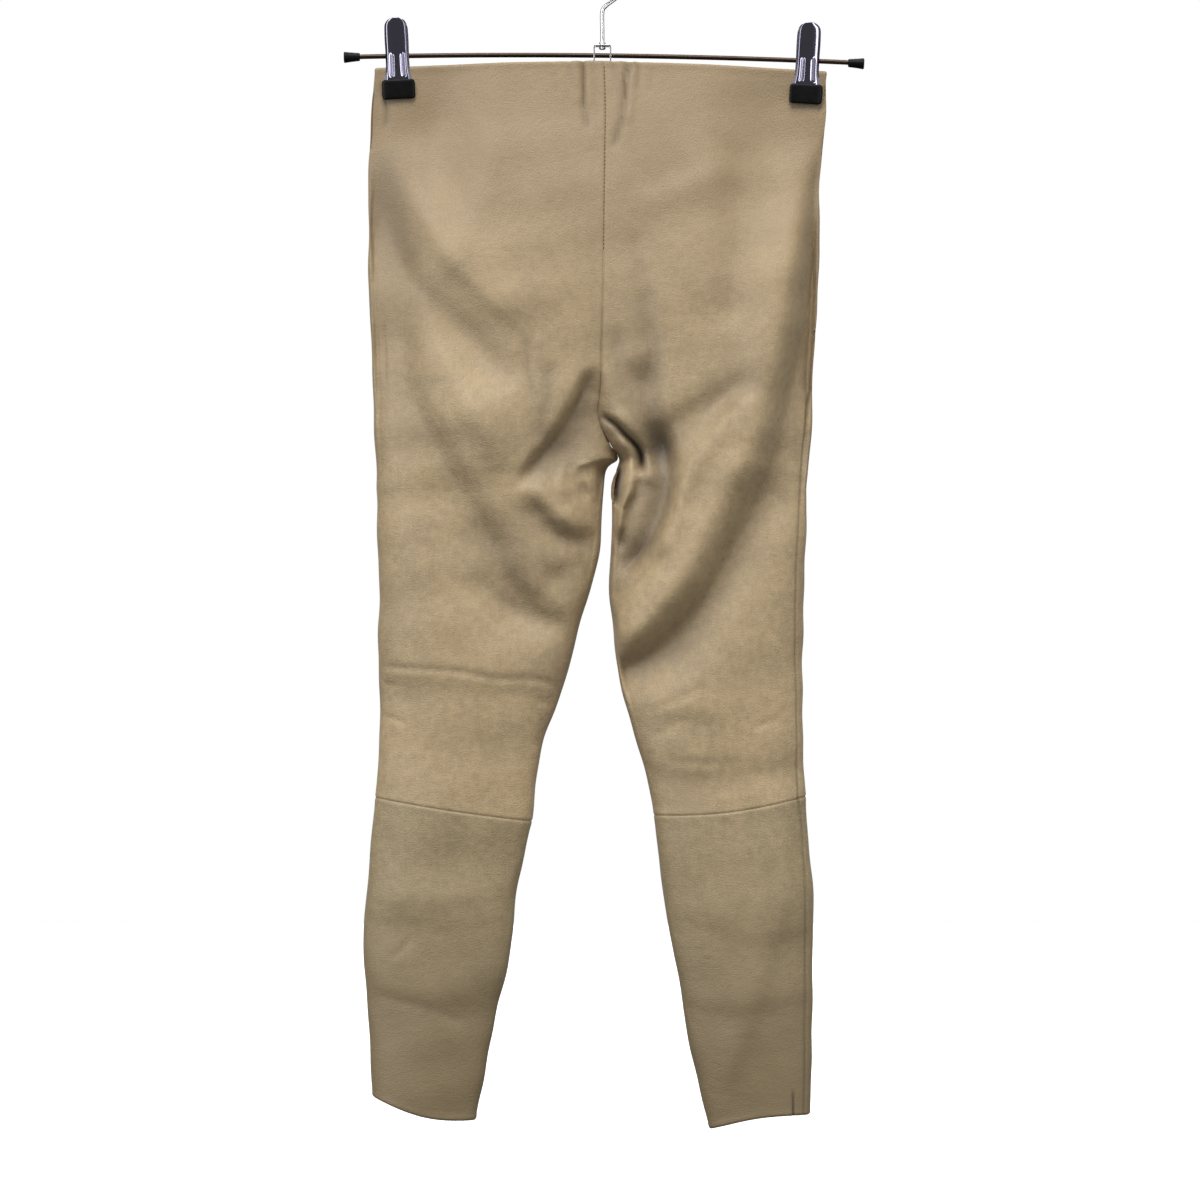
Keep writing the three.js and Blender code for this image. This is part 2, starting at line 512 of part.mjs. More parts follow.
// The hook: a straight stem held in the bracket by two peened rims, then an easy bend
// into an open ring that hangs on the rail
function hook() {
  const ringCentre = WIRE / 2 - HOOK_RADIUS;
  const places = [[STEM.x, STEM.foot], [STEM.x, (STEM.foot + STEM.top) / 2], [STEM.x, STEM.top],
    [HOOK_BEND.x, HOOK_BEND.z]];
  for (let turn = HOOK_ROOT; turn <= HOOK_TIP; turn += HOOK_TURN) {
    const angle = THREE.MathUtils.degToRad(turn);
    places.push([HOOK_RADIUS * Math.cos(angle), ringCentre + HOOK_RADIUS * Math.sin(angle)]);
  }
  const path = new THREE.CatmullRomCurve3(places.map(([x, z]) => new THREE.Vector3(x, 0, z)));
  const { radius, height } = PEEN;
  const rim = [[0, 0], [radius, 0], [radius * 0.8, height * 0.6], [WIRE / 2, height], [0, height]];
  const upper = turned(rim, 12).translate(STEM.x, 0, BRACKET.top + FIT);
  const lower = turned(rim, 12).rotateX(Math.PI).translate(STEM.x, 0, BRACKET.top - BRACKET.thick - FIT);
  return geometryOf(solidOf(rodAlong(path, WIRE, 46, 8)).add(solidOf(upper)).add(solidOf(lower)));
}
add(hanger, 'hook_wire', hook(), BRIGHT_STEEL);

// A pressed jaw with two ribs, a rounded grip and two ears on the bar
function jaw(facing, earX) {
  const grid = (inset) => JAW_ROWS.map((row) => JAW_COLUMNS.map((column) => new THREE.Vector3(
    row.halfWidth * column.share,
    facing * (row.stand + row.rib * column.rib - inset),
    row.height,
  )));
  let solid = solidOf(wallBetween(grid(0), grid(JAW_THICK), facing > 0));
  const outline = new THREE.Shape();
  outline.moveTo(EAR.rootHigh, EAR.halfRoot);
  outline.lineTo(0, EAR.radius);
  outline.absarc(0, 0, EAR.radius, Math.PI / 2, -Math.PI / 2, true);
  outline.lineTo(EAR.rootLow, -EAR.halfRoot);
  for (const side of [-1, 1]) {
    const ear = new THREE.ExtrudeGeometry(outline, plain(EAR.thick, 5));
    ear.translate(0, 0, side * earX - EAR.thick / 2);
    ear.applyMatrix4(new THREE.Matrix4().makeBasis(
      new THREE.Vector3(0, 1, 0), new THREE.Vector3(0, 0, 1), new THREE.Vector3(1, 0, 0),
    ));
    if (facing > 0) ear.rotateZ(Math.PI);
    solid = solid.add(solidOf(ear));
  }
  return geometryOf(solid.subtract(solidOf(pinAlongX(EAR.bore, 40))));
}

// A rubber pad, pocketed for the jaw's tongue
function pad(facing) {
  const { halfWidth, top, foot, inside, thick } = PAD;
  const tongue = JAW_ROWS[JAW_ROWS.length - 1];
  const body = slab(2 * halfWidth, thick, top - foot, 0, facing * (inside + thick / 2), (top + foot) / 2);
  const depth = JAW_THICK + 2 * FIT;
  const pocketFoot = tongue.height - FIT;
  const pocket = slab(
    2 * (tongue.halfWidth + FIT), depth, top + 2 - pocketFoot,
    0, facing * (tongue.stand - JAW_THICK / 2), (top + 2 + pocketFoot) / 2,
  );
  return geometryOf(solidOf(body).subtract(solidOf(pocket)));
}

// A spring on the bar between the ears
const springSleeve = () => turned([
  [EAR.bore, -SPRING.halfLength], [SPRING.radius, -SPRING.halfLength],
  [SPRING.radius, SPRING.halfLength], [EAR.bore, SPRING.halfLength], [EAR.bore, -SPRING.halfLength],
], 10).rotateY(Math.PI / 2);

for (const { name, x, lean } of CLIPS) {
  const clip = new THREE.Group();
  add(clip, `clip_${name}_near_jaw`, jaw(-1, EAR.nearX), BRIGHT_STEEL);
  add(clip, `clip_${name}_far_jaw`, jaw(1, EAR.farX), BRIGHT_STEEL);
  add(clip, `clip_${name}_near_pad`, pad(-1), BLACK_RUBBER);
  add(clip, `clip_${name}_far_pad`, pad(1), BLACK_RUBBER);
  add(clip, `clip_${name}_spring`, springSleeve(), DARK_STEEL);
  clip.position.copy(barAt(x));
  clip.rotation.y = THREE.MathUtils.degToRad(lean);
  hanger.add(clip);
}

const object = new THREE.Group();
object.add(trousers, hanger);

export default object;
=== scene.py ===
# %% [markdown]
# # Leather trousers on a clip hanger
# A pair of plain, slim leather trousers hangs by the waist from a steel hanger. Two
# clips pinch the corners, so the cloth lies flat at the top, fills out over the seat
# and falls in two flattened tubes. The script dresses a CAD model of the same object:
# it loads that model, builds finer pieces in its place and gives each one a finish.
# Tables of the garment and the hanger are in millimetres, with drops measured down from
# the waist. The room round them is in metres.

# %% Load the model
import math
import bmesh
import bpy
import numpy as np
from mathutils import Matrix, Vector


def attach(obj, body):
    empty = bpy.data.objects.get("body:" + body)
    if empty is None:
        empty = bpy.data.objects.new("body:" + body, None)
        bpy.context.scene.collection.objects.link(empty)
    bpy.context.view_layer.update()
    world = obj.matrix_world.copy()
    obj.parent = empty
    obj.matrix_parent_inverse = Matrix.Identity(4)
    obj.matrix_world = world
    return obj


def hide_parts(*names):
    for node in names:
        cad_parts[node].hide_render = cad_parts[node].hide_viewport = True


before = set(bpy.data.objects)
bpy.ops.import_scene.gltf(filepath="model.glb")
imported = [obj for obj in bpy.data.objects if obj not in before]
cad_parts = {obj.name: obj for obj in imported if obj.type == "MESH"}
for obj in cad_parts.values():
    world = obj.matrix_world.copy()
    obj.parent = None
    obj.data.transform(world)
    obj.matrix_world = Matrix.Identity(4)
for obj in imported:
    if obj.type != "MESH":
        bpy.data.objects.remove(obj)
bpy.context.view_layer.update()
MM = 0.001
TINY = 1e-9  # stands in for a length of nothing in a division

# %% [markdown]
# ## The cut
# Each leg has a back and a front panel down to a seam at the knee, and two more below
# it. One table for each half gives the side seam and the inner seam at twenty levels.
# The inner seam is the centre seam down to the crotch and the inseam below it. A smooth
# curve is drawn through each column, so a level can also be a fraction, such as 3.4.

# %% Levels of the two halves
CROTCH, KNEE, HEM = 7, 14, 19
WAIST_BELOW_HOOK = 91.4
LEVEL_COLUMNS = ("side_x", "side_drop", "inner_x", "inner_drop", "bow")


def named_columns(names, rows):
    """One array for each named column of a table."""
    return {name: np.array(values, float) for name, values in zip(names, zip(*rows))}


LEFT = named_columns(LEVEL_COLUMNS, [
    (-204, 6, 1, 0, -1), (-209, 51, 2, 48, 0), (-211, 125, 1, 125, 0), (-210, 215, 0, 215, 0),
    (-207, 291, -2, 291, 0), (-206, 330, -4, 320, 0), (-205, 352, 4, 341, 0),
    (-204, 370, 14, 357, 0), (-204, 384, 5, 367, 0), (-203, 403, 2, 386, 0),
    (-202, 467, -5, 441, 0), (-202, 512, -17, 495, 0), (-201, 566, -35, 557, 0),
    (-201, 611, -55, 620, 0), (-204, 662, -65, 683, 1), (-211, 719, -75, 741, 1),
    (-214, 782, -86, 804, 2), (-213, 845, -97, 868, 4), (-209, 894, -108, 917, 6),
    (-205, 931, -115, 952, 7),
])
RIGHT = named_columns(LEVEL_COLUMNS, [
    (200, 9, 1, 0, -1), (200, 51, 2, 48, 0), (195, 125, 1, 125, 0), (193, 215, 0, 215, 0),
    (189, 291, -2, 291, 0), (187, 330, -4, 320, 0), (186, 352, 4, 341, 0),
    (185, 370, 14, 357, 0), (184, 384, 11, 368, 0), (184, 403, 7, 388, 0),
    (181, 467, 9, 441, 0), (180, 512, 6, 489, 0), (179, 566, 14, 550, 1),
    (180, 611, 32, 618, 3), (182, 661, 46, 678, 5), (187, 714, 53, 737, 4),
    (189, 777, 62, 795, 2), (189, 845, 74, 863, 0), (187, 899, 85, 915, -2),
    (186, 947, 96, 960, -4),
])
LEFT.update(name="left", side=-1, clip_x=-183.5)
RIGHT.update(name="right", side=1, clip_x=181.5)
# The centre seam of the front lies a little lower, down to the crotch.
CENTRE_FRONT = {"inner_x": [1, 1, 1, 0, 0, 2, 6], "inner_drop": [13, 55, 127, 216, 292, 323, 343]}
print("side length in mm:", LEFT["side_drop"][HEM],
      "inseam:", LEFT["inner_drop"][HEM] - LEFT["inner_drop"][CROTCH])

# %% [markdown]
# ## How far the cloth stands out
# The second table says how far each face stands from the flat plane of the side seams:
# at the inner seam, in the middle of the half, and whether the half is open towards the
# other one. The seat is deepest at the centre seam. Below the crotch each leg closes
# into a tube of its own.

# %% Depths of the faces
DEPTH_COLUMNS = ("back_inner", "back_middle", "front_inner", "front_middle", "open")
DEPTHS = named_columns(DEPTH_COLUMNS, [
    (9, 0, 7, 0, 1), (17, 2, 14, 2, 1), (28, 4, 23, 3, 1), (34, 8, 29, 6, 1),
    (31, 17, 28, 13, 0.85), (25, 26, 23, 20, 0.6), (17, 32, 17, 26, 0.45),
    (6, 41, 6, 35, 0.3), (1.5, 43.3, 1.5, 37.6, 0.15), (0, 42.5, 0, 37.6, 0), (0, 40, 0, 37, 0),
    (0, 38, 0, 35, 0), (0, 34, 0, 32, 0), (0, 31, 0, 29, 0), (0, 29, 0, 28, 0),
    (0, 27, 0, 26, 0), (0, 25, 0, 25, 0), (0, 23, 0, 23, 0), (0, 20, 0, 20, 0),
    (0, 18, 0, 18, 0),
])
HIP_ROUNDING = 0.75  # power of the seat's oval
LEG_ROUNDING = 0.7  # power of the leg's oval
CROTCH_ROUNDING = 0.7  # levels over which the seat closes at the crotch
FLAT_DEPTH = 1.9  # least depth away from a seam, and the depth under a clip
EDGE_RISE = 0.5  # distance from a seam at which that least depth is reached
CLIP_HOLD = {"half_width": 24, "drop": 36, "fade_width": 70, "fade_drop": 165}
BACK = {"name": "back", "facing": -1, "columns": 104, "row_step": 2.4}
FRONT = {"name": "front", "facing": 1, "columns": 66, "row_step": 3.8}
print("deepest seat in mm:", DEPTHS["back_inner"].max(), "deepest thigh:", DEPTHS["back_middle"].max())

# %% [markdown]
# ## Folds
# Leather that hangs keeps large, soft folds where the body was: drag lines run from the
# hips to the crotch, and short creases cross the backs of the knees. Each fold here is a
# drawn path. Rise is its height, or below zero its depth, and it fades over one width on
# its left and another on its right as one walks along it, so one side can be a soft slope
# and the other a sharp edge. Shade is painted shade: it darkens the hide's colour where
# the fold's hollow would lie in shadow. A row is rise, left, right, shade and path.

# %% Folds of the back
BACK_FOLDS = {
    "left hip crest": (7, 28, 13, 0,
     [(-200, 60), (-184, 88), (-168, 118), (-152, 148), (-134, 178), (-100, 212), (-62, 250)]),
    "left hip shadow": (-2, 15, 16, 0.22, [(-202, 60), (-196, 95), (-190, 124), (-180, 160), (-160, 200)]),
    "left hip trough": (-13, 18, 32, 0.12,
     [(-210, 90), (-203, 122), (-194, 156), (-180, 190), (-160, 216), (-136, 240), (-112, 264),
      (-76, 304)]),
    "left thigh crest": (6, 22, 15, 0,
     [(-178, 180), (-164, 210), (-147, 251), (-129, 287), (-111, 323), (-84, 372)]),
    "left thigh trough": (-13, 18, 36, 0.1,
     [(-196, 200), (-187, 245), (-176, 298), (-160, 334), (-142, 368), (-124, 404), (-102, 440),
      (-80, 480), (-44, 528)]),
    "inner thigh hollow": (-3, 26, 30, 0.2, [(-112, 380), (-96, 420), (-76, 456), (-52, 478), (-24, 498)]),
    "left bow outer trough": (-4, 11, 15, 0.06,
     [(-122, 452), (-108, 474), (-88, 491), (-63, 501), (-40, 505), (-20, 500)]),
    "left bow crest": (3, 14, 11, 0, [(-93, 431), (-82, 454), (-61, 472), (-39, 476)]),
    "leaf hollow": (-11, 20, 6, 0.36,
     [(-2, 274), (-14, 290), (-22, 307), (-34, 328), (-46, 346), (-60, 364), (-76, 388)]),
    "leaf floor": (-5, 18, 16, 0.14, [(2, 296), (-8, 318), (-20, 340), (-34, 362), (-48, 384)]),
    "inner thigh bulge": (5, 13, 13, 0, [(-50, 352), (-56, 376), (-52, 398), (-38, 411), (-10, 414)]),
    "inner thigh ridge one": (2.5, 5, 5, 0, [(-32, 360), (-37, 378), (-31, 398)]),
    "inner thigh ridge two": (2, 4, 4, 0, [(-6, 363), (-22, 366), (-25, 378)]),
    "inner thigh ridge three": (1.6, 3, 3, 0, [(-13, 371), (-10, 389), (1, 397)]),
    "inner thigh loop": (-3, 5, 4, 0.1, [(-16, 377), (-17, 387), (-10, 397)]),
    "inner thigh trough": (-8, 10, 15, 0.18, [(-70, 384), (-58, 406), (-44, 424), (-24, 432), (4, 424)]),
    "inner thigh valley": (-4, 12, 15, 0.06, [(-66, 474), (-44, 466), (-22, 454), (2, 438)]),
    "seat pull one": (-1.2, 4, 4, 0.2, [(-69, 246), (-67, 279), (-60, 312)]),
    "seat pull two": (-2, 7, 7, 0.2, [(-48, 268), (-51, 310), (-60, 350)]),
    "seat pull three": (-1.4, 12, 14, 0.08, [(44, 230), (42, 270), (38, 302), (28, 334)]),
    "seat pull four": (-1.2, 8, 8, 0.1, [(25, 150), (30, 185), (34, 225), (37, 262)]),
    "seat pull five": (-1.6, 9, 9, 0.16, [(36, 200), (42, 240), (44, 275), (38, 306)]),
    "seat pull six": (-2, 8, 9, 0.18, [(11, 236), (14, 268), (19, 300), (26, 328)]),
    "right hip crest": (12, 18, 24, 0,
     [(200, 40), (191, 72), (183, 95), (178, 120), (172, 150), (166, 185), (160, 215), (156, 240),
      (139, 302), (128, 347), (111, 383), (92, 419), (74, 455), (48, 491), (20, 516), (-6, 536)]),
    "right hip trough": (-16, 32, 12, 0.2,
     [(202, 60), (197, 110), (192, 166), (187, 215), (180, 262), (163, 325), (153, 371), (135, 407),
      (115, 443), (94, 480), (66, 516), (34, 540), (-10, 566)]),
    "right seat ridge": (1.6, 12, 14, 0, [(20, 136), (50, 124), (82, 111), (124, 90)]),
    "right seat spot": (-1, 10, 10, 0.05, [(84, 60), (104, 72), (118, 81), (140, 96)]),
    "right seat valley": (-3.5, 16, 16, 0.04, [(119, 89), (118, 161), (114, 255)]),
    "under seat fold": (-7, 26, 15, 0.2,
     [(156, 274), (128, 292), (102, 309), (80, 322), (60, 332), (36, 332), (8, 312)]),
    "right inner crest": (5, 13, 9, 0,
     [(138, 296), (118, 314), (98, 339), (81, 361), (69, 390), (60, 419), (44, 452)]),
    "right inner valley": (-7, 13, 14, 0.24, [(30, 262), (38, 300), (46, 336), (54, 376)]),
    "right inner trough": (-12, 7, 20, 0.52,
     [(52, 322), (54, 342), (57, 359), (58, 377), (55, 395), (50, 413), (43, 431), (28, 449), (8, 467)]),
    "right inner foot": (-5, 14, 14, 0.14, [(52, 424), (40, 442), (26, 462), (8, 480), (-6, 500)]),
    "crotch slit": (-8, 2, 4.5, 0.65,
     [(-2, 316), (4, 321), (13, 327), (22, 337), (31, 347), (35, 358), (34, 374)]),
    "crotch overhang": (3, 9, 3, 0, [(8, 315), (22, 330), (38, 346), (41, 364), (39, 386)]),
    "crotch strip": (5, 6, 9, 0, [(12, 333), (21, 350), (24, 368), (22, 387), (16, 407), (13, 432)]),
    "crotch strip edge": (-4, 8, 3, 0.2, [(32, 371), (31, 387), (23, 402), (19, 420), (14, 443)]),
    "crotch shadow": (-30, 4, 9, 1, [(14, 360), (11, 373), (9, 387), (10, 404)]),
    "left calf wave": (-1.8, 12, 24, 0.05, [(-240, 774), (-180, 780), (-130, 784), (-50, 770)]),
    "left calf crest": (1.2, 14, 12, 0, [(-240, 742), (-150, 752), (-50, 740)]),
    "left ankle wave": (-1.2, 12, 18, 0.04, [(-240, 838), (-160, 850), (-70, 866)]),
    "right calf crest": (2.6, 11, 18, 0,
     [(170, 640), (167, 668), (164, 700), (156, 765), (140, 825), (122, 880), (104, 930)]),
    "right calf wave": (-1.5, 12, 20, 0.05, [(40, 764), (98, 784), (140, 797), (220, 782)]),
    "right ankle wave": (-1.2, 10, 16, 0.04, [(50, 846), (120, 858), (220, 842)]),
    "right knee hollow": (-2.6, 11, 18, 0.1, [(14, 604), (40, 596), (70, 594), (116, 602)]),
    "right knee wave": (-1.4, 9, 16, 0.03, [(20, 640), (90, 646), (210, 630)]),
    "left knee wave": (-1.4, 10, 18, 0.03, [(-230, 558), (-150, 566), (-30, 574)]),
}
print("folds on the back:", len(BACK_FOLDS), "deepest:", min(BACK_FOLDS, key=BACK_FOLDS.get))

# %% [markdown]
# The front isn't in the photograph, so its folds are of the kind that such a front has:
# drag lines from the hips to the crotch, creases at the groin and waves at the knee.

# %% Folds of the front
FRONT_FOLDS = {
    "left hip drag": (-7, 18, 18, 0, [(-186, 90), (-150, 168), (-96, 246), (-40, 306)]),
    "right hip drag": (-8, 18, 16, 0, [(180, 96), (146, 176), (90, 262), (38, 318)]),
    "left hip crest": (4, 16, 12, 0, [(-176, 70), (-128, 152), (-70, 232)]),
    "right hip crest": (4, 12, 18, 0, [(168, 74), (122, 160), (66, 238)]),
    "left groin crease": (-7, 12, 9, 0.1, [(-8, 330), (-60, 322), (-118, 296)]),
    "right groin crease": (-6, 9, 12, 0.1, [(22, 332), (70, 320), (120, 288)]),
    "left thigh drag": (-7, 20, 20, 0, [(-170, 300), (-132, 390), (-96, 450), (-60, 480)]),
    "right thigh drag": (-7, 20, 20, 0, [(160, 320), (122, 404), (88, 462), (52, 500)]),
    "left inner pull": (-4, 8, 9, 0, [(-14, 366), (-40, 392), (-58, 440)]),
    "right inner pull": (-4, 9, 8, 0, [(24, 368), (50, 396), (62, 446)]),
    "left knee wave": (-4, 12, 12, 0, [(-190, 588), (-130, 598), (-72, 584)]),
    "right knee wave": (-4, 12, 12, 0, [(168, 594), (110, 604), (56, 590)]),
    "left shin wave": (-2, 8, 10, 0, [(-200, 628), (-150, 634), (-90, 622)]),
    "right shin wave": (-2, 8, 10, 0, [(176, 636), (124, 640), (66, 630)]),
    "left ankle wave": (-3, 14, 14, 0, [(-202, 862), (-150, 876), (-104, 866)]),
    "right ankle wave": (-3, 14, 14, 0, [(180, 872), (130, 884), (84, 872)]),
}
print("folds on the front:", len(FRONT_FOLDS))

# %% [markdown]
# ## Creases, gathers and seam lines
# Thin creases move the hide along its own normal instead, so they also work where it
# curves away at the edge of a leg. Gathers at the waist come from the seam that is drawn
# in there, and the right side seam rolls a little onto the back.

# %% Creases of the back and the front
# In these tables too the shade column is painted shade, except at the three calf scuffs, where it is their
# own darker colour.
BACK_CREASES = {
    "gather far left": (-1, 2, 3, 0.12, [(-33, -12), (-31, 1), (-28, 12), (-25, 22), (-22, 36)]),
    "gather left": (-2.2, 1.9, 3, 0.34, [(-19, -12), (-18, 2), (-17, 16), (-16.5, 38), (-13, 68)]),
    "gather left ridge": (1.6, 3, 3.4, 0, [(-24, -12), (-23, 0), (-22, 18), (-20, 44)]),
    "gather left inner ridge": (1.3, 2.4, 3, 0, [(-12, -12), (-12, 0), (-12, 20), (-10, 48)]),
    "gather middle": (-1.2, 2.2, 2.6, 0.16, [(7, -12), (9, 0), (12, 12), (13.5, 24), (13, 42)]),
    "gather right": (-2.2, 2.3, 3.2, 0.34, [(27, -12), (25, 1), (21, 16), (19.5, 34), (17, 54), (9, 84)]),
    "gather right ridge": (1.6, 3, 3.4, 0, [(30, -12), (28, 0), (26, 18), (24, 44), (20, 62)]),
    "gather right inner ridge": (1.3, 2.4, 3, 0, [(18, -12), (17, 0), (16, 20), (14, 46)]),
    "gather far right": (-1.1, 2, 2.6, 0.16, [(35, -12), (34, 0), (32.5, 10), (31.5, 32)]),
    "gather outer left": (-0.6, 3, 3, 0.06, [(-48, -12), (-46, 0), (-43, 16), (-41, 36)]),
    "gather outer right": (-0.6, 3, 3, 0.06, [(49, -12), (47, 0), (44, 14), (43, 36)]),
    "clip pucker left": (-1.2, 3, 3, 0.22, [(-199, 16), (-196, 30), (-194, 50), (-196, 66)]),
    "clip corner left": (-1, 2.5, 2.5, 0.2, [(-196, 8), (-188, 10), (-180, 14)]),
    "clip pucker right": (-0.8, 3, 3, 0.1, [(199, 14), (197, 34), (193, 52)]),
    "left edge crease": (-1, 1.6, 2, 0.1, [(-197.5, 232), (-196, 262), (-195, 295)]),
    "left knee crease one": (-1.2, 3.4, 2.2, 0.16,
     [(-201, 544), (-171, 546), (-129, 549), (-97, 555), (-63, 556), (-39, 561)]),
    "left knee crease two": (-0.8, 2.5, 2.5, 0.05, [(-63, 574), (-42, 577)]),
    "left knee crease three": (-0.6, 2.5, 2.5, 0, [(-199, 560), (-183, 561)]),
    "left knee crease four": (-0.7, 2.5, 2.5, 0, [(-196, 577), (-181, 569)]),
    "left knee crease five": (-0.8, 3, 3, 0, [(-199, 587), (-173, 597)]),
    "left knee crease six": (-0.7, 2.5, 2.5, 0, [(-66, 614), (-53, 611)]),
    "right knee crease one": (-1, 4, 3, 0.05, [(29, 588), (62, 576), (96, 561)]),
    "right knee crease two": (-0.9, 3, 3, 0, [(40, 610), (79, 587)]),
    "right knee crease three": (-0.8, 4, 4, 0, [(54, 628), (90, 631), (130, 630)]),
    "right knee crease four": (-0.7, 3, 3, 0, [(130, 601), (162, 589)]),
    "left calf crease one": (-0.8, 3, 3, 0, [(-167, 783), (-192, 810)]),
    "left calf crease two": (-0.6, 5, 5, 0.02, [(-205, 839), (-160, 850), (-121, 864)]),
    "right calf scuff one": (-0.5, 2, 2, 0.15, [(88, 803), (94, 806), (98, 804)]),
    "right calf scuff two": (-0.5, 2, 2, 0.15, [(87, 794), (88, 802)]),
    "right calf scuff three": (-0.3, 2, 2, 0.08, [(112, 876), (146, 877)]),
    "strip crease": (-0.8, 1.6, 1.6, 0.1, [(16, 405), (22, 401)]),
    "seat crease": (-0.9, 1.5, 2, 0.2, [(-17, 294), (-22, 304), (-28, 314)]),
    "right side seam": (-0.9, 0.9, 0.9, 0.45,
     [(190.8, 236), (185, 287), (182, 319), (179, 352), (177.5, 386), (173.7, 444), (172, 521),
      (173, 569), (174.6, 661), (175.8, 667)]),
    "right side seam below the knee": (-0.9, 0.9, 0.9, 0.45,
     [(173.6, 655), (174.6, 661), (179.6, 696), (181, 763), (181.8, 808), (180, 941), (179.6, 956)]),
    "right hem slit": (-1.4, 0.8, 0.8, 0.9, [(169.6, 920), (170.2, 936), (170.7, 950), (171, 964)]),
}
FRONT_CREASES = {
    "waist gather one": (-0.8, 2.5, 3, 0.1, [(-14, 16), (-13, 48)]),
    "waist gather two": (-0.8, 3, 2.5, 0.1, [(19, 16), (17, 52)]),
    "left knee crease": (-1, 3, 3, 0.05, [(-190, 560), (-130, 566), (-70, 556)]),
    "right knee crease": (-1, 3, 3, 0.05, [(170, 566), (112, 574), (50, 562)]),
    "left knee crease low": (-0.8, 3, 3, 0, [(-180, 612), (-120, 620)]),
    "right knee crease low": (-0.8, 3, 3, 0, [(150, 618), (90, 624)]),
}
BACK.update(folds=BACK_FOLDS, creases=BACK_CREASES)
FRONT.update(folds=FRONT_FOLDS, creases=FRONT_CREASES)
print("creases:", len(BACK_CREASES) + len(FRONT_CREASES))

# %% [markdown]
# ## Reading tables and following paths
# A uniform Catmull-Rom curve passes through every value it is given, which suits drawn
# tables. The same curve is used for the columns of the level tables and for the paths of
# the folds. NumPy works out a whole panel of points at once, which is why each helper
# takes arrays.

# %% Curve helpers
PATH_PIECES = 26  # straight pieces that stand for one path
FOLD_REACH = 2.8  # how far a fold is felt, in widths
FOLD_FADE = 1.1  # length over which its ends fade, in widths
CREASE_FADE = 12  # a narrow crease fades over this length instead,
CREASE_FADE_SHARE = 0.35  # or over this share of its own


def smooth(value):
    """0 below 0, 1 above 1, and an S-shaped step between."""
    k = np.clip(value, 0, 1)
    return k * k * (3 - 2 * k)


def catmull_rom(a, b, c, d, k):
    """The curve from b to c at share k, with a before and d after."""
    bend = (2 * a - 5 * b + 4 * c - d) * k ** 2
    twist = (3 * b - a - 3 * c + d) * k ** 3
    return 0.5 * (2 * b + (c - a) * k + bend + twist)


def read_column(values, position):
    """A column or a list of points, read at fractional positions."""
    values = np.asarray(values, float)
    position = np.asarray(position, float)
    last = len(values) - 1
    start = np.clip(np.floor(position).astype(int), 0, last - 1)
    a, b, c, d = (values[np.clip(start + step, 0, last)] for step in (-1, 0, 1, 2))
    share = position - start
    if values.ndim > 1:
        share = share[..., None]
    return catmull_rom(a, b, c, d, share)


def near_path(path, left, right, x, drop):
    """How near places on the cloth are to a path: 1 on it, fading over a width on each side."""
    line = read_column(path, np.linspace(0, len(path) - 1, PATH_PIECES + 1))
    reach = FOLD_REACH * max(left, right)
    low, high = line.min(0) - reach, line.max(0) + reach
    inside = (x > low[0]) & (x < high[0]) & (drop > low[1]) & (drop < high[1])
    px, pd = x[inside], drop[inside]
    lengths = np.linalg.norm(np.diff(line, axis=0), axis=1)
    walked = np.concatenate([[0], np.cumsum(lengths)])
    nearest = np.full(px.shape, np.inf)
    along = np.zeros(px.shape)
    sideways = np.zeros(px.shape)
    for index in range(PATH_PIECES):
        start = line[index]
        run = line[index + 1] - start
        ox, od = px - start[0], pd - start[1]
        share = np.clip((ox * run[0] + od * run[1]) / (run @ run), 0, 1)
        distance = np.hypot(ox - share * run[0], od - share * run[1])
        closer = distance < nearest
        nearest = np.where(closer, distance, nearest)
        along = np.where(closer, walked[index] + share * lengths[index], along)
        sideways = np.where(closer, (run[0] * od - run[1] * ox) / np.hypot(*run), sideways)
    lean = smooth(0.5 + 0.5 * sideways / np.maximum(nearest, TINY))
    width = left + (right - left) * lean
    fade = max(FOLD_FADE * (left + right), min(CREASE_FADE_SHARE * walked[-1], CREASE_FADE))
    life = smooth(along / fade) * smooth((walked[-1] - along) / fade)
    nearness = np.zeros(x.shape)
    nearness[inside] = life * np.exp(-(nearest / width) ** 2)
    return nearness


def relief(folds, x, drop):
    """Summed height of some folds, and the shade they paint into the hide's colour."""
    height = np.zeros(x.shape)
    shade = np.zeros(x.shape)
    for rise, left, right, dark, path in folds.values():
        nearness = near_path(path, left, right, x, drop)
        height += rise * nearness
        shade += dark * nearness
    return height, np.clip(shade, 0, 1)


print("a fold reaches", FOLD_REACH, "widths from its path")

# %% [markdown]
# ## The form of a panel
# Across runs from 0 at the inner seam to 1 at the side seam. In the seat a half is a
# quarter of an oval, and in the leg half of one: the share called open mixes the two.
# Powers below 1 flatten the ovals, because hanging leather lies flatter than a worn leg.

# %% Outer face of a panel
EDGE_FADE = 6  # distance from a seam over which folds come in
SEAT_FADE = 12  # the same, for the last of the seat beside the inseam


def clip_hold(half, x, drop):
    """How much of a clip's hold is felt at a place, from 0 to 1."""
    sideways = (np.abs(x - half["clip_x"]) - CLIP_HOLD["half_width"]) / CLIP_HOLD["fade_width"]
    down = (drop - CLIP_HOLD["drop"]) / CLIP_HOLD["fade_drop"]
    return 1 - smooth(np.hypot(np.maximum(0, sideways), np.maximum(0, down)))


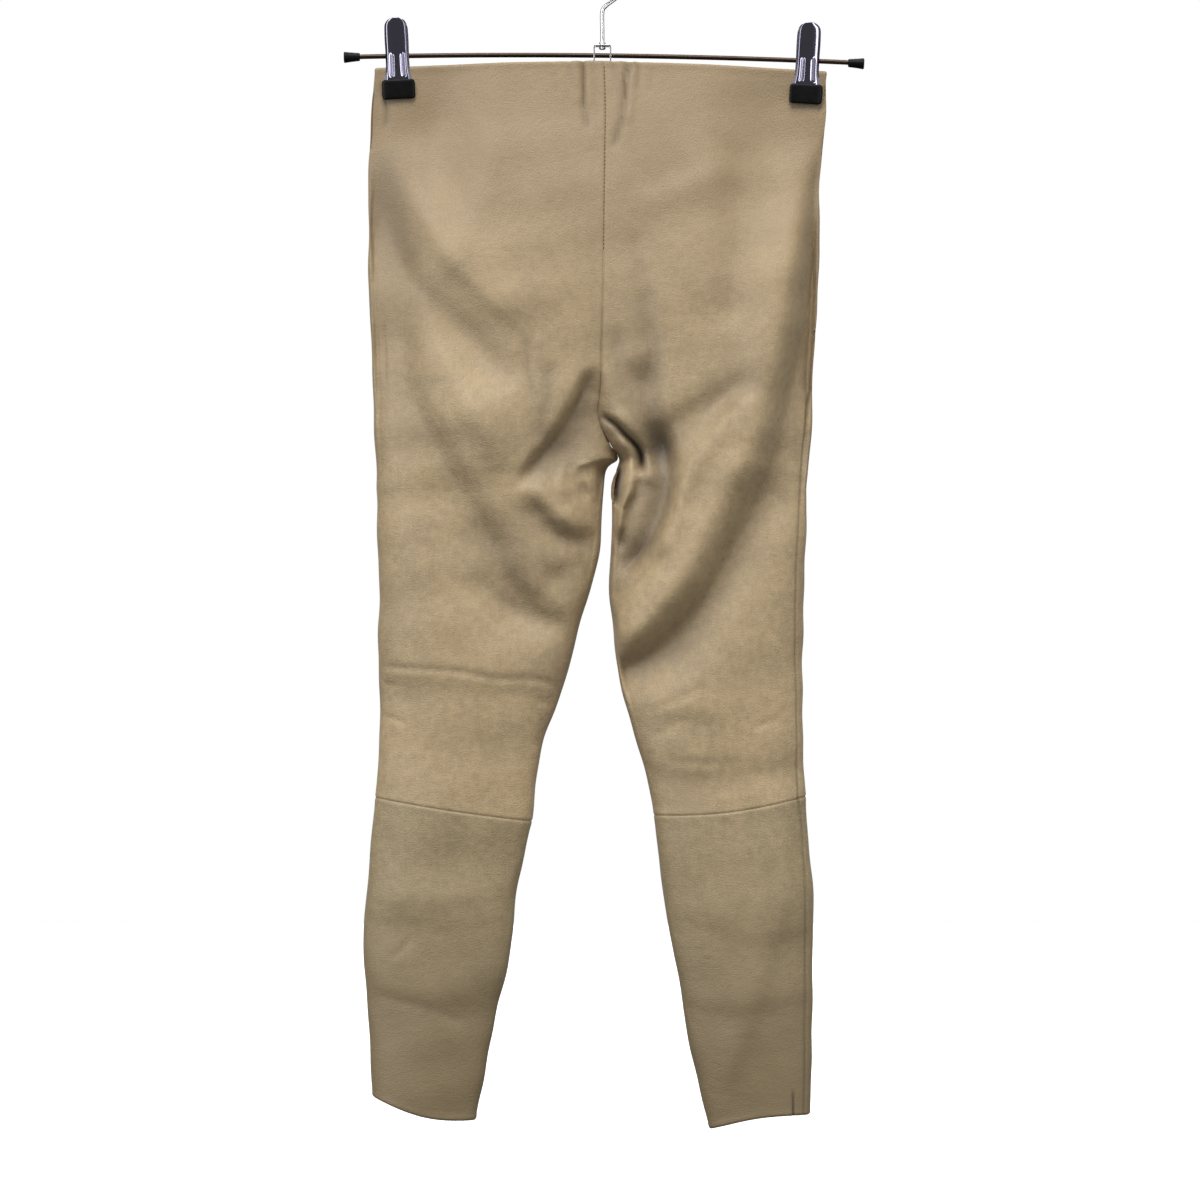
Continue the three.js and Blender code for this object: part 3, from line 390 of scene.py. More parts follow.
def outer_face(half, face, across, level):
    """Points of a panel's outer face in millimetres, and the shade of its folds."""
    across, level = np.meshgrid(across, level)
    table = dict(half)
    if face is FRONT:
        for column, centre in CENTRE_FRONT.items():
            table[column] = np.concatenate([centre, half[column][CROTCH:]])
    side_x, side_drop, inner_x, inner_drop, bow = (read_column(table[c], level) for c in LEVEL_COLUMNS)
    inner_depth = np.maximum(0, read_column(DEPTHS[face["name"] + "_inner"], level))
    middle_depth = np.maximum(0, read_column(DEPTHS[face["name"] + "_middle"], level))
    is_open = np.clip(read_column(DEPTHS["open"], level), 0, 1)

    turn = np.pi * across
    reach = is_open * np.sin(turn / 2) + (1 - is_open) * (1 - np.cos(turn)) / 2
    x = inner_x + (side_x - inner_x) * reach
    drop = inner_drop + (side_drop - inner_drop) * reach + bow * np.sin(np.pi * reach)
    under = smooth((CROTCH - level) / CROTCH_ROUNDING)
    from_inseam = np.abs(x - inner_x)
    seat = under + (1 - under) * smooth(from_inseam / SEAT_FADE)
    stand = (inner_depth * seat * np.maximum(0, np.cos(turn / 2)) ** HIP_ROUNDING
             + middle_depth * np.maximum(0, np.sin(turn)) ** LEG_ROUNDING)
    edge = np.minimum(np.abs(side_x - x), np.where(level > CROTCH, from_inseam, np.inf))
    height, shade = relief(face["folds"], x, drop)
    stand += height * smooth(edge / EDGE_FADE)
    hold = clip_hold(half, x, drop)
    stand += (FLAT_DEPTH - stand) * hold
    stand = np.maximum(stand, FLAT_DEPTH * np.minimum(1, edge / EDGE_RISE))
    stand = np.where((across == 0) & (level <= CROTCH), stand * under, stand)
    stand = np.where((across == 1) | ((across == 0) & (level >= CROTCH)), 0, stand)
    z = -WAIST_BELOW_HOOK - drop
    return np.stack([x, face["facing"] * stand, z], axis=-1), drop, shade


test, _, _ = outer_face(RIGHT, BACK, [0.5], [3.0])
print("middle of the right hip stands", round(-test[0, 0, 1], 1), "mm from the seam plane")

# %% [markdown]
# ## Seams and edges
# Two hides sewn face to face leave a narrow valley, and the turned allowances under
# them raise a soft band on each side. At the waist and the hem the edge is folded in and
# glued, so it is a small roll. Both depend only on the distance from the edge of the
# panel, which is measured along the cloth. The CAD model keeps a hair's gap at each
# seam. Here two panels that meet share one seam line, so no light comes through.

# %% Relief of seams and edges
SEAM = {"depth": 0.5, "width": 0.9, "band": 0.2, "band_from": 2, "band_to": 10}
ROLL = {"height": 0.4, "at": 2.6, "width": 2.4, "round": 0.8, "round_width": 0.7}


def seam_relief(distance):
    """A narrow valley at the seam, with a soft band beside it."""
    valley = -SEAM["depth"] * np.exp(-(distance / SEAM["width"]) ** 2)
    rise = smooth(distance / SEAM["band_from"])
    fall = smooth((distance - SEAM["band_from"]) / (SEAM["band_to"] - SEAM["band_from"]))
    return valley + SEAM["band"] * rise * (1 - fall)


def edge_relief(distance):
    """A turned edge: a roll that rounds over at its rim."""
    roll = ROLL["height"] * np.exp(-((distance - ROLL["at"]) / ROLL["width"]) ** 2)
    return roll - ROLL["round"] * np.exp(-(distance / ROLL["round_width"]) ** 2)


def walk(points, axis):
    """Distance along the cloth from the first point of each row or column."""
    steps = np.linalg.norm(np.diff(points, axis=axis), axis=-1)
    start = np.zeros_like(np.take(steps, [0], axis=axis))
    return np.concatenate([start, np.cumsum(steps, axis=axis)], axis=axis)


def unit(vectors):
    """Vectors brought to a length of one."""
    return vectors / np.maximum(np.linalg.norm(vectors, axis=-1, keepdims=True), TINY)


RIPPLE_SEED = 7
RIPPLES_EACH = 4
RIPPLE_HEIGHTS = {34: 0.10, 46: 0.14, 60: 0.20, 83: 0.26, 120: 0.32}  # by wave length
rng = np.random.default_rng(RIPPLE_SEED)
RIPPLES = [(rng.uniform(-1, 1, 2) * 2 * np.pi / length, rng.uniform(0, 2 * np.pi), size)
           for length, size in RIPPLE_HEIGHTS.items() for _ in range(RIPPLES_EACH)]


def ripples(x, drop):
    """The faint unevenness that no hide is free of."""
    return sum(size * np.sin(wave[0] * x + wave[1] * drop + phase) for wave, phase, size in RIPPLES)


print("a seam's band ends", SEAM["band_to"], "mm from the seam")

# %% [markdown]
# ## Eight grids
# Each panel is a grid of quads, crowded towards its seams, where the relief is finest. It
# becomes a closed shell further down, once the finishes of its two sides are there.

# %% Grids of points
SEAM_COLUMNS = (0.0012, 0.003, 0.0055, 0.009, 0.0135)  # shares of the width beside a seam
SEAM_STEPS = (0.5, 1.1, 1.9, 3, 4.6)  # and distances in millimetres
COLUMN_CLEAR = 1.4  # the even columns keep off those beside a seam, as a multiple
ROW_CLEAR = 1  # and the even rows by this distance
LEVEL_SAMPLES = 400  # points at which drops are turned back into levels


def crowded(count):
    """Shares from 0 to 1, closer together near both ends."""
    even = np.linspace(0, 1, count)[1:-1]
    extra = np.array(SEAM_COLUMNS)
    even = even[(even > COLUMN_CLEAR * extra[-1]) & (even < 1 - COLUMN_CLEAR * extra[-1])]
    return np.concatenate([[0], extra, even, 1 - extra[::-1], [1]])


def level_rows(half, start, stop, step):
    """Levels between two seams, a step apart, closer together near both."""
    fine = np.linspace(start, stop, LEVEL_SAMPLES)
    drops = read_column(half["side_drop"], fine)
    total = drops[-1] - drops[0]
    inner = np.arange(1, round(total / step)) * step
    ends = np.array(SEAM_STEPS)
    inner = inner[(inner > ends[-1] + ROW_CLEAR) & (inner < total - ends[-1] - ROW_CLEAR)]
    walked = np.concatenate([[0], ends, inner, total - ends[::-1], [total]])
    return np.interp(walked, drops - drops[0], fine)


def grid_mesh(name, points, flip, shade):
    """A mesh of quads over a grid of points in millimetres."""
    rows, columns = points.shape[:2]
    index = np.arange(rows * columns).reshape(rows, columns)
    corners = [index[:-1, :-1], index[1:, :-1], index[1:, 1:], index[:-1, 1:]]
    if flip:
        corners.reverse()
    faces = np.stack(corners, axis=-1).reshape(-1, 4)
    mesh = bpy.data.meshes.new(name)
    mesh.from_pydata((points.reshape(-1, 3) * MM).tolist(), [], faces.tolist())
    # Painted shade: the shade attribute darkens the leather's colour in folds and creases, and marks three
    # scuffs.
    mesh.attributes.new("shade", "FLOAT", "POINT").data.foreach_set("value", shade.ravel())
    mesh.shade_smooth()
    return mesh


def grid_area(points):
    """Area of a grid of points, in square metres."""
    right, down = np.diff(points, axis=1), np.diff(points, axis=0)
    halves = (np.cross(down[:, :-1], right[:-1]), np.cross(down[:, 1:], right[1:]))
    return sum(np.linalg.norm(half, axis=-1).sum() for half in halves) / 2 * MM * MM


print("columns of a back panel:", len(crowded(BACK["columns"])))

# %% [markdown]
# The relief moves the points along their normals. At a seam the normals are kept in the
# plane that both panels share, so that the two meet there. Only the left half shows its
# side seam at the edge in the photograph; the right one is one of the creases above.

# %% Build the eight panels
CALF_SHARE = 0.62  # a calf is narrower, so it takes fewer columns


def add_object(name, data):
    """An object in the scene, at the origin."""
    made = bpy.data.objects.new(name, data)
    bpy.context.scene.collection.objects.link(made)
    return made


def new_piece(name, mesh, *materials):
    """A piece that shows a mesh, with its materials."""
    piece = add_object(name, mesh)
    for material in materials:
        piece.data.materials.append(material)
    return piece


def panel(half, face, part):
    """The outer face of one panel of leather, and its grid of points."""
    start, stop, share = (0, KNEE, 1) if part == "thigh" else (KNEE, HEM, CALF_SHARE)
    across = crowded(round(face["columns"] * share))
    level = level_rows(half, start, stop, face["row_step"])
    points, drop, shade = outer_face(half, face, across, level)
    sign = half["side"] * face["facing"]
    normals = unit(np.cross(np.gradient(points, axis=1), np.gradient(points, axis=0)) * sign)
    normals[level <= CROTCH, 0, 0] = 0
    normals[level > CROTCH, 0, 1] = 0
    normals[:, -1, 1] = 0
    crease_height, crease_shade = relief(face["creases"], points[..., 0], drop)
    from_inner, from_top = walk(points, 1), walk(points, 0)
    from_side, from_foot = from_inner[:, -1:] - from_inner, from_top[-1:] - from_top
    height = crease_height + ripples(points[..., 0], drop)
    height += seam_relief(from_inner)
    if half is LEFT:
        height += seam_relief(from_side)
    if part == "thigh":
        height += edge_relief(from_top) + seam_relief(from_foot)
    else:
        height += seam_relief(from_top) + edge_relief(from_foot)
    points = points + unit(normals) * height[..., None]
    name = f"leather_{face['name']}_{half['name']}_{part}"
    mesh = grid_mesh(name, points, sign > 0, np.clip(shade + crease_shade, 0, 1))
    return new_piece(name, mesh), points


panels = {}
grid_width = {}
for half in (LEFT, RIGHT):
    for face in (BACK, FRONT):
        for part in ("thigh", "calf"):
            name = f"{face['name']}_{half['name']}_{part}"
            panels[name], points = panel(half, face, part)
            grid_width[name] = points.shape[1]
            print(name, "grid", points.shape[:2], "area in m2", round(grid_area(points), 4))

# %% [markdown]
# ## Writing node trees as expressions
# A small class wraps a socket, so that sums and products of signals read as maths. Every
# other node comes from one method, which takes the node's type, its settings and the
# values or links of its sockets. The same class writes materials and Geometry Nodes.

# %% Node helpers


class Signal:
    """An output socket that can be added and multiplied."""

    def __init__(self, recipe, socket):
        self.recipe = recipe
        self.socket = socket

    def maths(self, operation, first, second):
        return self.recipe.node("ShaderNodeMath", {0: first, 1: second}, operation=operation)

    def __add__(self, other):
        return self.maths("ADD", self, other)

    def __mul__(self, other):
        return self.maths("MULTIPLY", self, other)

    __radd__ = __add__
    __rmul__ = __mul__


class Recipe:
    """A node tree that is being written."""

    def __init__(self, tree):
        self.tree = tree
        self.tree.nodes.clear()

    def node(self, kind, sockets=None, output=0, **settings):
        """Adds a node: its settings first, then the values or links of its sockets."""
        made = self.tree.nodes.new(kind)
        for name, value in settings.items():
            setattr(made, name, value)
        for name, value in (sockets or {}).items():
            if isinstance(value, Signal):
                self.tree.links.new(value.socket, made.inputs[name])
            else:
                made.inputs[name].default_value = value
        return Signal(self, made.outputs[output]) if made.outputs else made


def new_material(name):
    """A material and the recipe of its nodes."""
    material = bpy.data.materials.new(name)
    material.use_nodes = True
    return material, Recipe(material.node_tree)


def linear(red, green, blue):
    """A colour given as it looks on screen, 0 to 255, as light values."""
    shares = [value / 255 for value in (red, green, blue)]
    return tuple(s / 12.92 if s < 0.04045 else ((s + 0.055) / 1.055) ** 2.4 for s in shares) + (1,)


def mix_colours(recipe, factor, first, second):
    """Two colours mixed by a factor; the sockets of a Mix node for colours go by number."""
    return recipe.node("ShaderNodeMix", {0: factor, 6: first, 7: second}, output=2, data_type="RGBA")


def object_place(recipe):
    """Coordinates on the piece itself, in metres."""
    return recipe.node("ShaderNodeTexCoord", output="Object")


def stretched(recipe, place, scale):
    """Coordinates scaled along X, Y and Z, so that a texture runs along the smallest."""
    return recipe.node("ShaderNodeMapping", {"Vector": place, "Scale": scale})


def noise(recipe, place, scale, detail, roughness=0.5):
    """Noise with so many blotches to a metre."""
    return recipe.node("ShaderNodeTexNoise", {
        "Vector": place, "Scale": scale, "Detail": detail, "Roughness": roughness})


def bump(recipe, height, strength, distance):
    """A surface that seems to rise by a height, over a distance in metres."""
    return recipe.node("ShaderNodeBump", {"Height": height, "Strength": strength, "Distance": distance})


def finish_material(recipe, sockets, shader="ShaderNodeBsdfPrincipled"):
    """Ends a material with its shader."""
    recipe.node("ShaderNodeOutputMaterial", {"Surface": recipe.node(shader, sockets)})


print("beige on screen as light:", [round(v, 3) for v in linear(173, 153, 124)])

# %% [markdown]
# ## Leather
# Smooth nappa has a fine pebbled grain, a soft satin sheen and a colour that drifts a
# little over the hide. Four noises of different sizes mix a lighter and a darker tone, and
# pebbles and pores join them in the bump. The panels below the knee are cut from a
# browner hide. The colour gets darker towards the hem on the lower panels and towards the
# waist on the upper ones, and painted shade from the shade attribute darkens the folds and
# creases. Object coordinates serve well here, because the cloth hardly stretches and stays
# where it is.

# %% Leather finishes
UPPER_DRIFT = (-0.45, -0.05)  # heights between which the upper hide turns to its third tone
LOWER_DRIFT = (-0.75, -1.0)  # the same below the knee, downwards
# Painted shade: the dark brown towards which the shade attribute pulls the leather in folds and creases.
PAINTED_SHADE_COLOUR = linear(28, 18, 9)
PAINTED_SHADE_STRENGTH = 0.92  # how far the deepest shade goes towards that colour


def leather(name, light, dark, drift_tone, drift):
    """Satin nappa in two tones that drifts to a third between two heights."""
    material, recipe = new_material(name)
    place = object_place(recipe)
    cloud = noise(recipe, place, 11, 4, 0.55)
    fleck = noise(recipe, place, 130, 5, 0.6)
    cross = noise(recipe, stretched(recipe, place, (0.3, 0.3, 1.6)), 420, 2)
    down = noise(recipe, stretched(recipe, place, (1.6, 1.6, 0.25)), 360, 2)
    pebble = recipe.node("ShaderNodeTexVoronoi", {"Vector": place, "Scale": 950}, feature="SMOOTH_F1")
    pore = noise(recipe, place, 1500, 2)
    mottle = cloud * 0.42 + fleck * 0.36 + cross * 0.08 + down * 0.14
    tone = recipe.node("ShaderNodeMapRange", {"Value": mottle, "From Min": 0.42, "From Max": 0.58})
    height = recipe.node("ShaderNodeSeparateXYZ", {"Vector": place}, output="Z")
    share = recipe.node("ShaderNodeMapRange", {
        "Value": height, "From Min": drift[0], "From Max": drift[1]}, interpolation_type="SMOOTHSTEP")
    # Painted shade: where the shade attribute is high, the colour is pulled towards a dark brown.
    shade = recipe.node("ShaderNodeAttribute", output="Fac", attribute_name="shade")
    colour = mix_colours(recipe, tone, dark, light)
    # The colour drifts darker towards the waist on the upper panels and towards the hem on the lower ones.
    colour = mix_colours(recipe, share, colour, drift_tone)
    colour = mix_colours(recipe, shade * PAINTED_SHADE_STRENGTH, colour, PAINTED_SHADE_COLOUR)
    grain = pebble * 0.8 + pore * 0.3 + cross * 0.3 + down * 0.5 + fleck * 1.4
    finish_material(recipe, {
        "Base Color": colour, "Roughness": fleck * 0.16 + 0.44, "Normal": bump(recipe, grain, 0.7, 0.0005),
        "Specular IOR Level": 0.42, "Sheen Weight": 0.12, "Sheen Roughness": 0.5,
    })
    return material


def dull(name, dark, light, cloud, grain, roughness, specular):
    """A dull finish in two tones: cloud and grain are its noises, roughness the least and its drift."""
    material, recipe = new_material(name)
    place = object_place(recipe)
    tone = noise(recipe, place, *cloud)
    scale, detail, strength, depth = grain
    finish_material(recipe, {
        "Base Color": mix_colours(recipe, tone, dark, light), "Specular IOR Level": specular,
        "Roughness": tone * roughness[1] + roughness[0],
        "Normal": bump(recipe, noise(recipe, place, scale, detail), strength, depth),
    })
    return material


upper_leather = leather("upper_leather", linear(177, 154, 116), linear(156, 135, 101),
                        linear(151, 129, 96), UPPER_DRIFT)
lower_leather = leather("lower_leather", linear(165, 145, 109), linear(144, 127, 94),
                        linear(124, 107, 76), LOWER_DRIFT)
suede = dull("flesh_side", linear(118, 97, 72), linear(146, 124, 96), cloud=(600, 4),
             grain=(600, 4, 0.5, 0.0003), roughness=(0.85, 0.1), specular=0.2)
print("leather finishes:", upper_leather.name, lower_leather.name, suede.name)

# %% [markdown]
# ## From a grid to a shell
# The Solidify modifier gives each panel the thickness of the hide, inwards. The outside
# takes the first of the two finishes and the inside the second, and the result is kept as
# a plain mesh. Where the clips press the garment flat, the inside would come out past the
# other face or the edge. So each inside is kept on its own side of the middle plane, but
# for a small overlap, and a little in from the outline. Sharp rims stay sharp.

# %% Give the panels their thickness
HIDE = 1.2 * MM
RIM_ANGLE = math.radians(55)
OVERLAP = 0.2 * MM
INSET = 0.4 * MM


def plain_mesh(piece):
    """What a piece looks like with its modifiers, as a plain mesh. They are then removed."""
    bpy.context.view_layer.update()
    graph = bpy.context.evaluated_depsgraph_get()
    evaluated = piece.evaluated_get(graph)
    mesh = bpy.data.meshes.new_from_object(evaluated, preserve_all_data_layers=True, depsgraph=graph)
    piece.modifiers.clear()
    return mesh


def tuck_inside(mesh, columns, facing):
    """Keeps the inside of a shell within its outside, row by row."""
    places = np.empty(len(mesh.vertices) * 3)
    mesh.vertices.foreach_get("co", places)
    outer, inner = np.split(places.reshape(-1, columns, 3), 2)
    low = outer[..., 0].min(axis=1, keepdims=True) + INSET
    high = outer[..., 0].max(axis=1, keepdims=True) - INSET
    inner[..., 0] = np.clip(inner[..., 0], low, high)
    inner[..., 1] = facing * np.maximum(facing * inner[..., 1], -OVERLAP)
    mesh.vertices.foreach_set("co", places)
    mesh.update()


for name, piece in panels.items():
    piece.data.materials.append(upper_leather if name.endswith("thigh") else lower_leather)
    piece.data.materials.append(suede)
    wall = piece.modifiers.new("hide", "SOLIDIFY")
    wall.thickness = HIDE
    wall.offset = -1
    wall.material_offset = 1
    piece.data = plain_mesh(piece)
    facing = BACK["facing"] if "back" in name else FRONT["facing"]
    tuck_inside(piece.data, grid_width[name], facing)
    piece.data.set_sharp_from_angle(angle=RIM_ANGLE)
    piece.data.calc_loop_triangles()
    print(piece.name, "triangles", len(piece.data.loop_triangles))

# %% [markdown]
# ## The hanger's bar, caps and hook
# A round rod bowed a little by the load carries the clips, with a flared rubber cap at
# each end. A thin bracket straddles it and holds the stem of the hook between two
# peened rims. Rods are tubes swept along a line, and turned parts come from a profile.

# %% Shapes for turned and swept parts
BAR_ENDS = ((-229.5, -87.3), (231.3, -92.7))
BAR_MIDDLE = -86
BAR = 4.4  # thickness of the rod
WIRE = 3.8  # and of the hook


def bar_at(x):
    """Height of the bar's axis at a place along it."""
    (x0, z0), (x1, z1) = BAR_ENDS
    share = (x - x0) / (x1 - x0)
    control = 2 * BAR_MIDDLE - (z0 + z1) / 2
    return (1 - share) ** 2 * z0 + 2 * share * (1 - share) * control + share ** 2 * z1


def shift(x, y, z):
    """A move by some millimetres."""
    return Matrix.Translation(Vector((x, y, z)) * MM)


def moved(mesh, matrix):
    """A bmesh, moved."""
    bmesh.ops.transform(mesh, matrix=matrix, verts=mesh.verts)
    return mesh


def arc(x, z, radius, start, step, count=7):
    """Points round a centre, from one angle in degrees on by equal steps."""
    angles = [math.radians(start + step * k) for k in range(count)]
    return [(x + radius * math.cos(angle), z + radius * math.sin(angle)) for angle in angles]


def join_rows(mesh, rows, around):
    """Faces between rows of vertices; around also joins the end of a row to its start."""
    count = len(rows[0])
    for row, below in zip(rows[:-1], rows[1:]):
        for k in range(count if around else count - 1):
            mesh.faces.new((row[k], row[(k + 1) % count], below[(k + 1) % count], below[k]))


def vertex_rows(mesh, points):
    """New vertices at rows of points in millimetres."""
    return [[mesh.verts.new(Vector(p) * MM) for p in row] for row in points]


def rings_mesh(rings, closed_ends=True):
    """A mesh that joins rings of points."""
    mesh = bmesh.new()
    rows = vertex_rows(mesh, rings)
    join_rows(mesh, rows, around=True)
    if closed_ends:
        mesh.faces.new(rows[0])
        mesh.faces.new(rows[-1])
    return mesh


def tube(path, radius, sides):
    """A closed round rod along a flat path of (x, z) points."""
    path = np.array([(x, 0, z) for x, z in path], float)
    across = np.cross(unit(np.gradient(path, axis=0)), [0, 1, 0])
    turn = np.linspace(0, 2 * np.pi, sides, endpoint=False)
    return rings_mesh([p + radius * (np.outer(np.cos(turn), a) + np.outer(np.sin(turn), [0, 1, 0]))
                       for p, a in zip(path, across)])


def lathe(profile, sides):
    """A turned solid about Z, from (radius, height) points that start and end on the axis."""
    turn = np.linspace(0, 2 * np.pi, sides, endpoint=False)
    rings = [[(r * math.cos(t), r * math.sin(t), h) for t in turn] for r, h in profile[1:-1]]
    mesh = rings_mesh(rings, closed_ends=False)
    foot, top = (mesh.verts.new(Vector((0, 0, profile[end][1])) * MM) for end in (0, -1))
    mesh.verts.ensure_lookup_table()
    last = (len(rings) - 1) * sides
    for k in range(sides):
        mesh.faces.new((foot, mesh.verts[(k + 1) % sides], mesh.verts[k]))
        mesh.faces.new((top, mesh.verts[last + k], mesh.verts[last + (k + 1) % sides]))
    return mesh


def mesh_data(name, mesh):
    """What a bmesh holds, as mesh data; the bmesh is freed."""
    data = bpy.data.meshes.new(name)
    mesh.to_mesh(data)
    mesh.free()
    return data


def solid_piece(name, meshes, material, bevel=0, sharp=40):
    """One piece from some closed bmeshes, with edges above an angle sharp, or first rounded."""
    whole = bmesh.new()
    for mesh in meshes:
        bmesh.ops.recalc_face_normals(mesh, faces=mesh.faces)
        part = mesh_data("part", mesh)
        whole.from_mesh(part)
        bpy.data.meshes.remove(part)
    piece = new_piece(name, mesh_data(name, whole), material)
    if bevel:
        rounding = piece.modifiers.new("rounding", "BEVEL")
        rounding.width = bevel * MM
        rounding.segments = 3
        rounding.limit_method = "ANGLE"
        piece.data = plain_mesh(piece)
    piece.data.shade_smooth()
    piece.data.set_sharp_from_angle(angle=math.radians(sharp))
    return piece


print("bar's sag from middle to ends in mm:", round(bar_at(0) - bar_at(BAR_ENDS[1][0]), 1))

# %% [markdown]
# ## Metal and rubber
# The bar is dark bronzed steel with faint drawn lines along it. The hook, the bracket
# and the clips are plated and polished, so they show mostly what is round them. The caps
# and pads are black rubber with a light bloom.

# %% Metal and rubber finishes


def metal(name, base, other, roughness, streak):
    """Metal whose tone and gloss drift in fine streaks."""
    material, recipe = new_material(name)
    place = object_place(recipe)
    lines = noise(recipe, stretched(recipe, place, streak), 900, 3)
    cloud = noise(recipe, place, 160, 3)
    finish_material(recipe, {
        "Base Color": mix_colours(recipe, lines * 0.5 + cloud * 0.5, base, other), "Metallic": 1.0,
        "Roughness": cloud * 0.08 + roughness, "Normal": bump(recipe, lines, 0.12, 0.00005),
    })
    return material


def thread(name):
    """Brown thread with a little fuzz."""
    material, recipe = new_material(name)
    fuzz = noise(recipe, object_place(recipe), 3000, 2)
    colour = mix_colours(recipe, fuzz, linear(66, 46, 28), linear(92, 68, 44))
    finish_material(recipe, {"Base Color": colour, "Roughness": 0.8})
    return material


dark_steel = metal("dark_steel", linear(70, 58, 50), linear(44, 36, 31), 0.28, (0.05, 1, 1))
chrome = metal("chrome", linear(124, 122, 136), linear(104, 101, 117), 0.05, (1, 1, 0.2))
bright_steel = metal("bright_steel", linear(205, 206, 208), linear(182, 183, 186), 0.12, (1, 1, 0.1))
black_rubber = dull("black_rubber", linear(3, 3, 4), linear(10, 10, 11), cloud=(220, 4),
                    grain=(1800, 2, 0.3, 0.0001), roughness=(0.3, 0.16), specular=0.1)
thread_brown = thread("brown_thread")
print("hard finishes:", dark_steel.name, chrome.name, bright_steel.name, black_rubber.name)

# %% [markdown]
# ## Bar and caps
# The rod is a plain sweep with flat ends, which the caps hide. A cap is moulded rubber,
# wider towards its outer rim, and pushed over the rod's end along the rod's slope. It is
# turned from a profile of radius and height.

# %% Bar and caps
CAP_OVERLAP = 11  # how far a cap goes over the rod,
CAP_FIT = 0.3  # less what its foot stands out
CAP_PROFILE = [(0, 0), (3.1, 0), (3.7, 0.5), (4.0, 4), (4.5, 9.4), (5.0, 12.8), (5.1, 13.4),
               (4.9, 14.1), (4.2, 14.4), (0, 14.4)]
SLOPE_RUN = 10  # length over which the rod's slope at its end is taken
hanger = {}

bar_path = [(x, bar_at(x)) for x in np.linspace(BAR_ENDS[0][0], BAR_ENDS[1][0], 60)]
hanger["hanger_bar"] = solid_piece("steel_bar", [tube(bar_path, radius=BAR / 2, sides=28)], dark_steel)

for side, (end_x, end_z), outwards in (("left", BAR_ENDS[0], -1), ("right", BAR_ENDS[1], 1)):
    slope = math.atan2(bar_at(end_x) - bar_at(end_x - outwards * SLOPE_RUN), SLOPE_RUN)
    turn = Matrix.Rotation(outwards * math.pi / 2 - outwards * slope, 4, "Y")
    start = shift(end_x - outwards * (CAP_OVERLAP - CAP_FIT), 0, end_z)
    cap = moved(lathe(CAP_PROFILE, sides=36), start @ turn)
    hanger[f"bar_cap_{side}"] = solid_piece(f"rubber_cap_{side}", [cap], black_rubber)
print("bar and caps:", sorted(hanger))

# %% [markdown]
# ## Bracket and hook
# The bracket is a strip of sheet metal bent into an upturned U over the bar. The hook's
# wire goes down through it, and a rim peened on each side of the strip holds it there and
# lets it swivel. The wire bends from its stem into most of a circle, and the inside of
# that circle's top is where a rail carries it.

# %% Bracket and hook
STEM = {"x": -0.6, "foot": -80.6, "top": -46.8}
BRACKET = {"width": 16.2, "depth": 9, "top": -76.6, "foot": -92.5, "thick": 1.4, "corner": 2.2}
HOOK = {"radius": 20, "root": -55, "step": 20, "points": 14, "bend": (3, -41)}
RIM_PROFILE = [(0, 0), (2.4, 0), (2.9, 0.5), (3.0, 1.2), (2.7, 2), (2.1, 2.5), (0, 2.7)]
RIM_GAP = 0.3  # play between a rim and the strip


def bent_strip(outline, thick, depth):
    """A strip of sheet metal bent along an outline of (x, z) points, of even depth in Y."""
    run = unit(np.gradient(np.array(outline, float), axis=0))
    near, far = -depth / 2, depth / 2
    return rings_mesh([[(x, near, z), (x, far, z), (x + dz * thick, far, z - dx * thick),
                        (x + dz * thick, near, z - dx * thick)]
                       for (x, z), (dx, dz) in zip(outline, run)])


side_x, corner = BRACKET["width"] / 2, BRACKET["corner"]
half_up, centre_z = (BRACKET["foot"] + BRACKET["top"]) / 2, BRACKET["top"] - corner
arch = [(-side_x, BRACKET["foot"]), (-side_x, half_up)]
arch += arc(-side_x + corner, centre_z, corner, start=180, step=-15)
arch += arc(side_x - corner, centre_z, corner, start=90, step=-15)
arch += [(side_x, half_up), (side_x, BRACKET["foot"])]
strip = bent_strip([(x + STEM["x"], z) for x, z in arch], BRACKET["thick"], BRACKET["depth"])
hanger["hook_bracket"] = solid_piece("steel_bracket", [strip], bright_steel, bevel=0.25)

stem = [(STEM["x"], z) for z in (STEM["foot"], (STEM["foot"] + STEM["top"]) / 2, STEM["top"])]
crown = arc(0, WIRE / 2 - HOOK["radius"], HOOK["radius"], HOOK["root"], HOOK["step"], HOOK["points"])
hook_points = stem + [HOOK["bend"]] + crown
hook_line = read_column(hook_points, np.linspace(0, len(hook_points) - 1, 160))
above = shift(STEM["x"], 0, BRACKET["top"] + RIM_GAP)
below = shift(STEM["x"], 0, BRACKET["top"] - BRACKET["thick"] - RIM_GAP)
rims = [moved(lathe(RIM_PROFILE, sides=32), place)
        for place in (above, below @ Matrix.Rotation(math.pi, 4, "X"))]
wire = tube(hook_line, radius=WIRE / 2, sides=20)
hanger["hook_wire"] = solid_piece("steel_hook", [wire, *rims], bright_steel)
print("hanger pieces so far:", sorted(hanger))

# %% [markdown]
# ## The clips
# A clip is two pressed jaws that hinge on the bar. Each jaw is a strip of plated steel
# with a rounded grip, two ribs for stiffness and a flared foot in a rubber pad. The
# jaw is a grid again: one table gives its half width and how far it stands from the
# cloth, and a formula adds the crown, the turned sides and the ribs.

